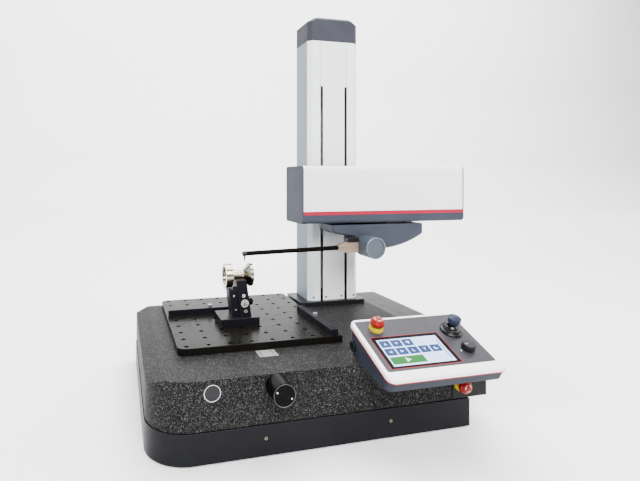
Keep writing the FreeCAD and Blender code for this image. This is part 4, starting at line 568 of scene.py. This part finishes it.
def arrow_band(form, seat, inner, outer, start, sweep, height_at, steps=14):
    """A curved arrow that lies on a domed face: a band with a pointed head."""
    middle, half = (inner + outer) / 2, (outer - inner) / 2
    shaft, head, shaft_end, point = half * 0.4, half * 1.2, 0.62, 0.02
    rows = []
    for step in range(steps + 1):
        part = step / steps
        wide = shaft if part < shaft_end else head * (1 - part) / (1 - shaft_end) + point
        angle = start + sweep * part
        rows.append([(middle - wide, angle), (middle + wide, angle)])
    low, high = [], []
    for lift, store in ((-0.15, low), (0.2, high)):
        for pair in rows:
            store.append([form.verts.new(seat @ Vector((
                radius * math.cos(angle), radius * math.sin(angle),
                height_at(radius) + lift))) for radius, angle in pair])
    for over, next_over, under, next_under in zip(high, high[1:], low, low[1:]):
        form.faces.new((over[0], over[1], next_over[1], next_over[0]))
        form.faces.new((under[0], next_under[0], next_under[1], under[1]))
        for side in (0, 1):
            form.faces.new((over[side], next_over[side], next_under[side], under[side]))


# repeated forms, placed by node trees

def node_piece(name, body, material, tree, settings):
    """Run a geometry tree on an empty mesh and keep the result as a plain mesh."""
    carrier = bpy.data.objects.new(name + "_maker", bpy.data.meshes.new(name + "_maker"))
    bpy.context.scene.collection.objects.link(carrier)
    modifier = carrier.modifiers.new(name, "NODES")
    modifier.node_group = tree
    for item in tree.interface.items_tree:
        if item.item_type == "SOCKET" and item.in_out == "INPUT" and item.name in settings:
            modifier[item.identifier] = settings[item.name]
    evaluated = carrier.evaluated_get(bpy.context.evaluated_depsgraph_get())
    mesh = bpy.data.meshes.new_from_object(evaluated)
    bpy.data.objects.remove(carrier)
    mesh.materials.clear()
    mesh.materials.append(material)
    return placed(name, mesh, body)


def new_geometry_tree(name, inputs):
    """Start a geometry tree with named inputs."""
    tree = bpy.data.node_groups.new(name, "GeometryNodeTree")
    tree.interface.new_socket("Geometry", in_out="OUTPUT",
                              socket_type="NodeSocketGeometry")
    for title, kind, value in inputs:
        socket = tree.interface.new_socket(title, in_out="INPUT", socket_type=kind)
        socket.default_value = value
    return tree, tree.nodes.new("NodeGroupInput"), tree.nodes.new("NodeGroupOutput")


def finish_tree(tree, leave, points, shape, **more):
    """Put a shape on every point, turn it all into one mesh and end the tree."""
    spread = add(tree, "GeometryNodeInstanceOnPoints",
                 {"Points": points.outputs[0], "Instance": shape.outputs[0], **more})
    real = add(tree, "GeometryNodeRealizeInstances", {0: spread.outputs[0]})
    fill(tree, leave, {0: real.outputs[0]})


def rim_grid_tree():
    """Rings at every place of a rectangular grid."""
    tree, entry, leave = new_geometry_tree(
        "RimGrid", [("Pitch", FLOAT, 0.05), ("Columns", INTEGER, 8), ("Rows", INTEGER, 9),
                    ("Rim Radius", FLOAT, 0.005), ("Rim Width", FLOAT, 0.0004),
                    ("Centre", VECTOR, (0, 0, 0))])
    size = {}
    for axis, count in (("X", entry.outputs["Columns"]), ("Y", entry.outputs["Rows"])):
        size["Vertices " + axis] = count
        size["Size " + axis] = maths(tree, "MULTIPLY", entry.outputs["Pitch"],
                                     maths(tree, "SUBTRACT", count, 1.0))
    grid = add(tree, "GeometryNodeMeshGrid", size)
    moved = add(tree, "GeometryNodeTransform", {"Geometry": grid.outputs[0],
                                                "Translation": entry.outputs["Centre"]})
    path = add(tree, "GeometryNodeCurvePrimitiveCircle", {
        "Resolution": 40, "Radius": entry.outputs["Rim Radius"]})
    section = add(tree, "GeometryNodeCurvePrimitiveCircle", {
        "Resolution": 6, "Radius": entry.outputs["Rim Width"]})
    ring = add(tree, "GeometryNodeCurveToMesh", {"Curve": path.outputs[0],
                                                 "Profile Curve": section.outputs[0]})
    finish_tree(tree, leave, moved, ring)
    return tree


def bar_row_tree():
    """Small blocks in a straight row."""
    tree, entry, leave = new_geometry_tree(
        "BarRow", [("Count", INTEGER, 10), ("Start", VECTOR, (0, 0, 0)),
                   ("Step", VECTOR, (0, 0, 0.004)), ("Block", VECTOR, (0.001, 0.001, 0.001))])
    line = add(tree, "GeometryNodeMeshLine", {"Count": entry.outputs["Count"],
                                              "Start Location": entry.outputs["Start"],
                                              "Offset": entry.outputs["Step"]})
    block = add(tree, "GeometryNodeMeshCube", {"Size": entry.outputs["Block"]})
    finish_tree(tree, leave, line, block)
    return tree


def ring_of_ribs_tree():
    """Ribs that stand round a cylinder about Z."""
    tree, entry, leave = new_geometry_tree(
        "RingOfRibs", [("Count", INTEGER, 30), ("Radius", FLOAT, 0.012),
                       ("Rib", VECTOR, (0.0006, 0.0006, 0.01))])
    circle = add(tree, "GeometryNodeMeshCircle", {"Vertices": entry.outputs["Count"],
                                                  "Radius": entry.outputs["Radius"]})
    rib = add(tree, "GeometryNodeMeshCube", {"Size": entry.outputs["Rib"]})
    outward = add(tree, "GeometryNodeInputPosition")
    facing = add(tree, "FunctionNodeAlignEulerToVector", {"Vector": outward.outputs[0]},
                 axis="X", pivot_axis="Z")
    finish_tree(tree, leave, circle, rib, Rotation=facing.outputs[0])
    return tree


# touch screen

TILE_WIDE, TILE_DEEP, TILE_PITCH = 23.0, 19.5, 26.0
TILE_LEFT, FIRST_ROW, SECOND_ROW, START_ROW = 31.6, 86.5, 63.5, 39.5
TILE_CORNER, SYMBOL_SIZE = 1.6, 0.68
SIDE_BAR = (162.4, 43.0, 2.2, 55.0)
GROUND_LAYER, TILE_LAYER, SYMBOL_LAYER = (-0.02, 0.06), (0.02, 0.1), (0.06, 0.14)


def tile_corners():
    """Lower left corners of the blue tiles: three in the first row, five in the second."""
    corners = [(TILE_LEFT + TILE_PITCH * index, FIRST_ROW) for index in range(3)]
    return corners + [(TILE_LEFT + TILE_PITCH * index, SECOND_ROW) for index in range(5)]


def tile_symbols():
    """Plain symbols, as outlines about a tile's middle."""
    up = [(-5, -4), (5, -4), (0, 5)]
    down = [(-5, 4), (0, -5), (5, 4)]
    flag = [(-5, -1), (-1, -1), (-1, -5), (1, -5), (5, -5), (5, 5), (-5, 5)]
    left = [(5, -5), (5, 5), (-6, 0)]
    right = [(-5, -5), (6, 0), (-5, 5)]
    corner = [(-4, -5), (4, -5), (4, -2.6), (-1.6, -2.6), (-1.6, 5), (-4, 5)]
    fork = [(-1.2, -5), (1.2, -5), (1.2, 0), (5, 5), (2.2, 5), (0, 1.8), (-2.2, 5), (-5, 5),
            (-1.2, 0)]
    bars = [(-6, -5), (6, -5), (6, -2), (2, -2), (2, 1.5), (-2, 1.5), (-2, 5), (-6, 5)]
    return [[(x * SYMBOL_SIZE, y * SYMBOL_SIZE) for x, y in outline]
            for outline in (up, down, flag, left, right, corner, fork, bars)]


def screen_pieces():
    """The lit picture: pale ground, blue tiles, green field, side bar and white symbols."""
    seat = on_panel(0, 0, 0)

    def lay(form, outline, layer):
        plate(form, seat, outline, SCREEN_TOP + layer[0], SCREEN_TOP + layer[1])

    def ground(form):
        lay(form, box_outline(*LIT), GROUND_LAYER)

    def tiles(form):
        for x, y in tile_corners():
            lay(form, rounded_outline(x, y, TILE_WIDE, TILE_DEEP, TILE_CORNER), TILE_LAYER)

    def field(form):
        lay(form, rounded_outline(TILE_LEFT, START_ROW, TILE_PITCH * 2 + TILE_WIDE,
                                  TILE_DEEP, TILE_CORNER), TILE_LAYER)

    def side_bar(form):
        lay(form, box_outline(*SIDE_BAR), TILE_LAYER)

    def symbols(form):
        start = [(-5, -6), (6.5, 0), (-5, 6)]
        corners = tile_corners() + [(TILE_LEFT + TILE_PITCH, START_ROW)]
        for (x, y), outline in zip(corners, tile_symbols() + [start]):
            lay(form, [(x + TILE_WIDE / 2 + across, y + TILE_DEEP / 2 + up)
                       for across, up in outline], SYMBOL_LAYER)

    def outline(form):
        x, y, width, height = SCREEN
        gap = RED_LINE_GAP
        frame_of_strips(form, seat, x - gap, y - gap, width + 2 * gap, height + 2 * gap,
                        RED_LINE_WIDTH, FACE_TOP - SINK, FACE_TOP + RED_LINE_HEIGHT)

    piece("screen_ground", "base", SCREEN_PALE, ground)
    piece("screen_tiles", "base", SCREEN_BLUE, tiles)
    piece("screen_start_field", "base", SCREEN_GREEN, field)
    piece("screen_side_bar", "base", SCREEN_BLUE, side_bar)
    piece("screen_symbols", "base", SCREEN_WHITE, symbols)
    piece("screen_red_line", "base", MATERIALS["seal_red"], outline)


# controls

def stop_arrows():
    """Three turning arrows on each emergency stop."""
    seats = {"machine_stop": on_front(*MACHINE_STOP),
             "panel_stop": on_panel(*PANEL_STOP, FACE_TOP)}

    def crown_height(radius):
        return STOP_HEAD_TOP - STOP_CROWN * radius / STOP_CROWN_RADIUS

    for body, seat in seats.items():
        def draw(form, seat=seat):
            for index in range(ARROW_COUNT):
                arrow_band(form, seat, ARROW_INNER, ARROW_OUTER,
                           math.tau * index / ARROW_COUNT, ARROW_SWEEP, crown_height)
        piece(body + "_arrows", body, MARK_WHITE, draw, smooth=True)


def joystick_rings():
    """Folds of the joystick's rubber boot, on its ring and on its dome, and the cap's line."""
    face = on_panel(*JOYSTICK, FACE_TOP)
    dome = on_panel(*JOYSTICK, FACE_TOP + DOME_LIFT)

    def fixed(form):
        for fold in BOOT_FOLDS:
            bead(form, face, *fold)

    def moving(form):
        height = math.sqrt(DOME_RADIUS ** 2 - DOME_FOLD ** 2) - DOME_FOLD_SINK
        bead(form, dome, DOME_FOLD, height, DOME_FOLD_TUBE)

    def cap_ring(form):
        bead(form, dome, *CAP_LINE)

    piece("joystick_boot_folds", "base", MATERIALS["rubber_black"], fixed, smooth=True)
    piece("joystick_dome_folds", "joystick_gimbal", MATERIALS["rubber_black"], moving,
          smooth=True)
    piece("joystick_cap_line", "joystick_stick", MATERIALS["stick_black"], cap_ring,
          smooth=True)


def dial_details():
    """Grip ribs and pointer of the speed dial and the white mark beside it."""
    ribs = node_piece("dial_ribs", "speed_knob", MATERIALS["dial_black"],
                      ring_of_ribs_tree(),
                      {"Count": RIB_COUNT, "Radius": RIB_RADIUS * MM,
                       "Rib": tuple(side * MM for side in RIB)})
    ribs.data.transform(on_panel(*DIAL, FACE_TOP) @ Matrix.Scale(1 / MM, 4)
                        @ Matrix.Translation((0, 0, RIB_MIDDLE * MM)))

    def mark(form):
        decal(form, on_panel(0, 0, FACE_TOP),
              [(DIAL[0] - left, DIAL[1] - front) for left, front in DIAL_MARK],
              MARK_HEIGHT)

    def pointer(form):
        decal(form, on_panel(*DIAL, FACE_TOP + DIAL_HEIGHT),
              box_outline(*DIAL_POINTER), POINTER_HEIGHT)

    piece("dial_mark", "base", MARK_WHITE, mark)
    piece("dial_pointer", "speed_knob", MATERIALS["bright_steel"], pointer)


def socket_ring():
    """Black liner of the round socket in the panel's left side."""
    seat = on_panel(*SOCKET) @ Matrix.Rotation(math.radians(-90), 4, "Y")

    def draw(form):
        turned(form, seat, [(CORE, 1.3), (7.2, 1.3), (7.2, 4.2), (10.2, 4.2), (10.7, 3.8),
                            (10.7, 0.1), (11.0, 0.1), (11.0, 4.0), (10.4, 4.5),
                            (7.0, 4.5), (6.8, 1.6), (CORE, 1.6)])
    piece("panel_socket_liner", "base", MATERIALS["box_black"], draw)


# stone, table and fixture

def table_details():
    """Flat black rings just inside the plate's holes: painted shade in the hole mouths."""
    middle = (GRID_LEFT + GRID_PITCH * (GRID_COLUMNS - 1) / 2,
              GRID_FRONT + GRID_PITCH * (GRID_ROWS - 1) / 2, PLATE_TOP - MOUTH_DEPTH)
    node_piece("plate_hole_shade_rings", "table", HOLE_SHADE_BLACK, rim_grid_tree(),
               {"Pitch": GRID_PITCH * MM, "Columns": GRID_COLUMNS, "Rows": GRID_ROWS,
                "Rim Radius": MOUTH_RADIUS * MM, "Rim Width": MOUTH_WIDTH * MM,
                "Centre": tuple(row_point(*middle))})


def knob_details():
    """Edge line and two pins on the face of the table knob, and the plug's bright ring."""
    front = on_front(KNOB[0], KNOB[1] - KNOB_LENGTH, KNOB[2])

    def ring(form):
        inner, outer = (KNOB_RADIUS - inset for inset in KNOB_LINE_INSETS)
        turned(form, front, [(inner, -SINK), (outer, -SINK), (outer, 0.12), (inner, 0.12)])

    def pins(form):
        for side in (-1, 1):
            seat = front @ Matrix.Translation((side * KNOB_PIN_OUT, side * -KNOB_PIN_DOWN, 0))
            turned(form, seat, [(CORE, -0.9), (1.7, -0.9), (1.7, 0.2), (1.3, 0.5),
                                (CORE, 0.6)], 24)

    def plug_ring(form):
        turned(form, on_front(*PLUG), [(15.4, 1.1), (16.6, 1.1), (16.6, 1.5), (16.4, 1.6),
                                       (15.6, 1.6), (15.4, 1.5)])

    piece("knob_edge_ring", "table_knob", MATERIALS["dark_steel"], ring)
    piece("knob_pins", "table_knob", MATERIALS["bright_steel"], pins)
    piece("plug_edge_ring", "base", MATERIALS["bright_steel"], plug_ring)


def scale_details():
    """Graduations of the two scale plates."""
    tree = bar_row_tree()
    for name, middle in SCALES:
        node_piece(name, "base", MATERIALS["box_black"], tree,
                   {"Count": SCALE_COUNT, "Step": (0, SCALE_STEP * MM, 0),
                    "Start": tuple(row_point(middle, SCALE_FRONT, STONE_TOP + 0.02)),
                    "Block": tuple(side * MM for side in SCALE_LINE)})

    def long_lines(form):
        seat = seat_at(row_point(0, 0, STONE_TOP))
        for x in LONG_LINES:
            plate(form, seat, box_outline(x, LONG_LINE_FRONT, *LONG_LINE), -0.02, 0.07)
    piece("scale_long_lines", "base", MATERIALS["box_black"], long_lines)


def socket_discs():
    """Dark sockets of screws, and the slots and bore of the round clamping disc, as black
    decals: painted shade of these recesses.
    """
    def on_post(right, behind, height):
        return on_front(POST_LEFT + right - POST_LEAN * height, POST_FRONT + behind,
                        FIXTURE_TOP + height)

    def table_sockets(form):
        for column, row in BAR_SCREW_HOLES:
            seat = seat_at(row_point(GRID_LEFT + GRID_PITCH * column,
                                     GRID_FRONT + GRID_PITCH * row, BAR_SCREW_TOP))
            # a black hexagon for the shade in a screw's socket
            decal(form, seat, polygon(BAR_SOCKET, 6))
        for *place, radius in POST_SOCKETS:
            decal(form, on_post(*place), polygon(radius, 6))
        disc = on_post(*DISC)
        for turn in DISC_SLOT_TURNS:
            slot = disc @ Matrix.Rotation(math.radians(turn), 4, "Z")
            for side in (-1, 1):
                decal(form, slot, box_outline(side * DISC_SLOT_OUT - DISC_SLOT_LENGTH / 2,
                                              -DISC_SLOT_WIDTH / 2, DISC_SLOT_LENGTH,
                                              DISC_SLOT_WIDTH))
        decal(form, disc, polygon(DISC_BORE, 20))
    piece("table_screw_sockets", "table", MATERIALS["box_black"], table_sockets)

    def base_sockets(form):
        for x in SKIRT_SCREWS:
            decal(form, on_front(x, SKIRT_SCREW_FRONT, SKIRT_SCREW_HEIGHT),
                  polygon(SKIRT_SOCKET, 6))
        for x in COLUMN_SCREWS:
            decal(form, on_front(x, COVER_FRONT, COLUMN_SCREW_HEIGHT),
                  polygon(COLUMN_SOCKET, 6))
        decal(form, seat_at(row_point(*FOOT_SCREW)), polygon(FOOT_SOCKET, 24), 0.08)
    piece("base_screw_sockets", "base", MATERIALS["box_black"], base_sockets)


# column and drive unit

def column_outline(wall):
    """Plan of the column with bevelled front corners, shrunk by a wall."""
    low, wide, deep = wall, COLUMN_WIDTH - wall, COLUMN_DEPTH - wall
    cut = COLUMN_BEVEL + wall * 0.6
    back = COLUMN_BACK_CUT
    return [(cut, low), (low, cut), (low, deep - back), (low + back, deep),
            (wide - back, deep), (wide, deep - back), (wide, cut),
            (COLUMN_WIDTH - cut, low)]


def column_pieces():
    """Bevelled column, open in the middle of its front, its head, and the cover's lines; its
    long sides and slot walls carry painted shade.
    """
    corner = (COLUMN_LEFT, COLUMN_FRONT, COLUMN_BOTTOM)
    seat, front = seat_at(row_point(*corner)), on_front(*corner)
    mouth_left = (COLUMN_WIDTH - COVER_WIDTH) / 2
    mouth_right = COLUMN_WIDTH - mouth_left

    def profile(form):
        outer, inner = column_outline(0.0), column_outline(COLUMN_WALL)
        outline = ([(mouth_left, 0.0)] + outer + [(mouth_right, 0.0)]
                   + [(mouth_right, COLUMN_WALL)] + inner[::-1]
                   + [(mouth_left, COLUMN_WALL)])
        plate(form, seat, outline, 0.0, COLUMN_HEIGHT)

    def head(form):
        rings = []
        for height, side, back in ((0.0, 0.0, 0.0), (CAP_SHOULDER, 0.0, 0.0),
                                   (CAP_HEIGHT - CAP_FRONT_EDGE, CAP_SLANT * 0.55, 0.0),
                                   (CAP_HEIGHT, CAP_SLANT, CAP_FRONT_EDGE)):
            rings.append([form.verts.new(seat @ Vector((
                x + side * (1 - 2 * x / COLUMN_WIDTH), y + back * (1 - 2 * y / COLUMN_DEPTH),
                COLUMN_HEIGHT + height))) for x, y in column_outline(0.0)])
        for low, high in zip(rings, rings[1:]):
            for index in range(len(low)):
                after = (index + 1) % len(low)
                form.faces.new((low[index], low[after], high[after], high[index]))
        form.faces.new(rings[0])
        form.faces.new(rings[-1])

    def seams(form):
        for x in (mouth_left, mouth_right - SEAM_WIDTH):
            decal(form, front, box_outline(x, SLOT_TOP, SEAM_WIDTH,
                                           COLUMN_HEIGHT - SLOT_TOP))

    # black strips on the slot walls, inside the column's wall: painted shade in the slots
    def shade_strips(form):
        for x in (mouth_left, mouth_left + SLOT_WIDTH - SLOT_SHADE_STRIP,
                  mouth_right - SLOT_WIDTH, mouth_right - SLOT_SHADE_STRIP):
            plate(form, front, box_outline(x, 0.0, SLOT_SHADE_STRIP, SLOT_TOP),
                  -COLUMN_WALL, -SINK)

    body = piece("column_body", "base", MATERIALS["column_silver"], profile)
    body.data.materials.append(COLUMN_SIDE_SHADE)
    # the two long sides get a darker blue-grey copy of the silver as painted shade; only they
    # are upright, face left or right and are this large
    for face in body.data.polygons:
        if abs(face.normal.x) > 0.9 and face.area > 0.01:
            face.material_index = 1
    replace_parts(body, "column_profile")
    piece("slot_shade_strips", "base", MATERIALS["box_black"], shade_strips)
    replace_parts(piece("column_head", "base", MATERIALS["cap_grey"], head), "column_cap")
    piece("cover_seams", "base", MATERIALS["dark_steel"], seams)
    node_piece("slot_band", "base", MATERIALS["column_silver"], bar_row_tree(),
               {"Count": BAND_COUNT, "Start": tuple(row_point(*BAND_START)),
                "Step": (0, 0, BAND_STEP * MM),
                "Block": tuple(side * MM for side in BAND_LINK)})


def arm_pieces():
    """Arm, bright collar and stylus, as thick as they look, along the drooping arm."""
    along = Vector((math.cos(ARM_DROOP), 0, math.sin(ARM_DROOP)))
    pivot = row_point(*ARM_PIVOT)
    arm = seat_at(pivot, along, (0, 1, 0))
    tip = seat_at(pivot - along * ARM_REACH * MM, (-along.z, 0, along.x), (0, 1, 0))

    def rod(form):
        turned(form, arm, [(CORE, ARM_END), (5.6, ARM_END), (5.9, ARM_END + 0.4),
                           (6.2, CLAMP_MOUTH - 0.4), (6.0, CLAMP_MOUTH), (5.4, CLAMP_MOUTH),
                           (5.4, ARM_ROOT), (CORE, ARM_ROOT)], 48)

    def collar(form):
        turned(form, arm, [(CORE, -364.4), (3.6, -364.1), (5.5, -363.3), (6.4, -361.8),
                           (6.4, ARM_END - 0.6), (6.0, ARM_END - COLLAR_GAP),
                           (CORE, ARM_END - COLLAR_GAP)], 48)

    def shank(form):
        turned(form, tip, [(CORE, -4.0), (2.3, -4.0), (2.3, -11.6), (1.9, -12.2),
                           (1.9, -17.0), (0.9, -18.6), (0.25, -23.0), (CORE, -23.0)], 28)

    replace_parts(piece("arm_rod", "probe", MATERIALS["arm_black"], rod, smooth=True),
                "probe_arm")
    piece("stylus_collar", "probe", NEEDLE_STEEL, collar, smooth=True)
    needle = piece("stylus_shank", "probe", NEEDLE_STEEL, shank, smooth=True)
    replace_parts(needle, "stylus")


def drive_details():
    """Recess line of the probe housing and a bright ring on the hub's rim that is a painted
    highlight.
    """
    def recess(form):
        width, height = RECESS_LINE
        frame_of_strips(form, on_front(*RECESS_CORNER), *RECESS, width, -SINK, height)

    def rim(form):
        bead(form, on_front(ARM_PIVOT[0], HUB_FRONT, ARM_PIVOT[2]), HUB_RIM_RADIUS,
             HUB_RIM_BACK, HUB_RIM_TUBE)

    piece("pod_recess_line", "traverse", MATERIALS["box_black"], recess)
    piece("hub_rim_highlight_ring", "probe", HUB_RIM_HIGHLIGHT, rim, smooth=True)


screen_pieces()
stop_arrows()
joystick_rings()
dial_details()
socket_ring()
table_details()
knob_details()
scale_details()
socket_discs()
column_pieces()
arm_pieces()
drive_details()


# camera, floor and light

def set_camera():
    """The photograph's view: a level camera with a shifted lens."""
    data = bpy.data.cameras.new("photo_camera")
    data.lens, data.sensor_width = 26.74, 36.0
    data.shift_x, data.shift_y = 0.124, -0.0966
    data.clip_start, data.clip_end = 0.05, 60.0
    camera = bpy.data.objects.new("photo_camera", data)
    camera.location = (-0.52345, -1.12953, 0.5525)
    camera.rotation_euler = (math.radians(90), 0, math.radians(-14.24))
    bpy.context.scene.collection.objects.link(camera)
    bpy.context.scene.camera = camera


def add_light(name, place, target, size, power, tone=(1, 1, 1)):
    """A soft area light that faces a target."""
    data = bpy.data.lights.new(name, "AREA")
    data.shape, data.size, data.size_y = "RECTANGLE", size[0], size[1]
    data.energy, data.color = power, tone
    light = bpy.data.objects.new(name, data)
    light.location = place
    light.rotation_euler = (Vector(target) - Vector(place)).to_track_quat("-Z", "Y").to_euler()
    bpy.context.scene.collection.objects.link(light)


def set_stage():
    """A plain pale floor that runs up to the back, and soft studio light."""
    mesh = bpy.data.meshes.new("studio_floor")
    form = bmesh.new()
    half_width, under_feet = 16.0, 0.0002
    rows = [(-8.0, 0.0), (3.0, 0.0), (4.5, 0.12), (5.6, 0.8), (6.2, 2.2), (6.4, 7.0)]
    lines = [[form.verts.new((x, y, z - under_feet)) for x in (-half_width, half_width)]
             for y, z in rows]
    for low, high in zip(lines, lines[1:]):
        form.faces.new((low[0], low[1], high[1], high[0]))
    for face in form.faces:
        face.smooth = True
    form.to_mesh(mesh)
    form.free()
    floor = bpy.data.objects.new("studio_floor", mesh)
    bpy.context.scene.collection.objects.link(floor)
    material, tree, shader, place = new_material("studio_paper")
    fill(tree, shader, {"Base Color": blend(tree, noise(tree, place, 3.0), grey(0.86),
                                            grey(0.88)), "Roughness": 0.85})
    mesh.materials.append(material)
    world = bpy.data.worlds.new("studio_world")
    bpy.context.scene.world = world
    world.use_nodes = True
    fill(world.node_tree, world.node_tree.nodes["Background"],
         {"Color": grey(1), "Strength": 0.55})
    centre, wall = (0, 0.1, 0.4), (1.5, 6.2, 1.4)
    add_light("key_light", (-0.5, -2.9, 2.5), centre, (2.4, 1.6), 330)
    add_light("top_light", (0.2, 0.4, 3.2), centre, (2.6, 2.2), 210)
    add_light("left_light", (-2.8, 0.2, 1.2), centre, (1.6, 1.8), 16, (0.5, 0.78, 1.0))
    add_light("right_light", (2.8, -1.2, 1.6), centre, (1.4, 1.8), 60)
    add_light("wall_light", (1.5, 2.4, 5.2), wall, (13.0, 1.6), 1700)


set_camera()
set_stage()
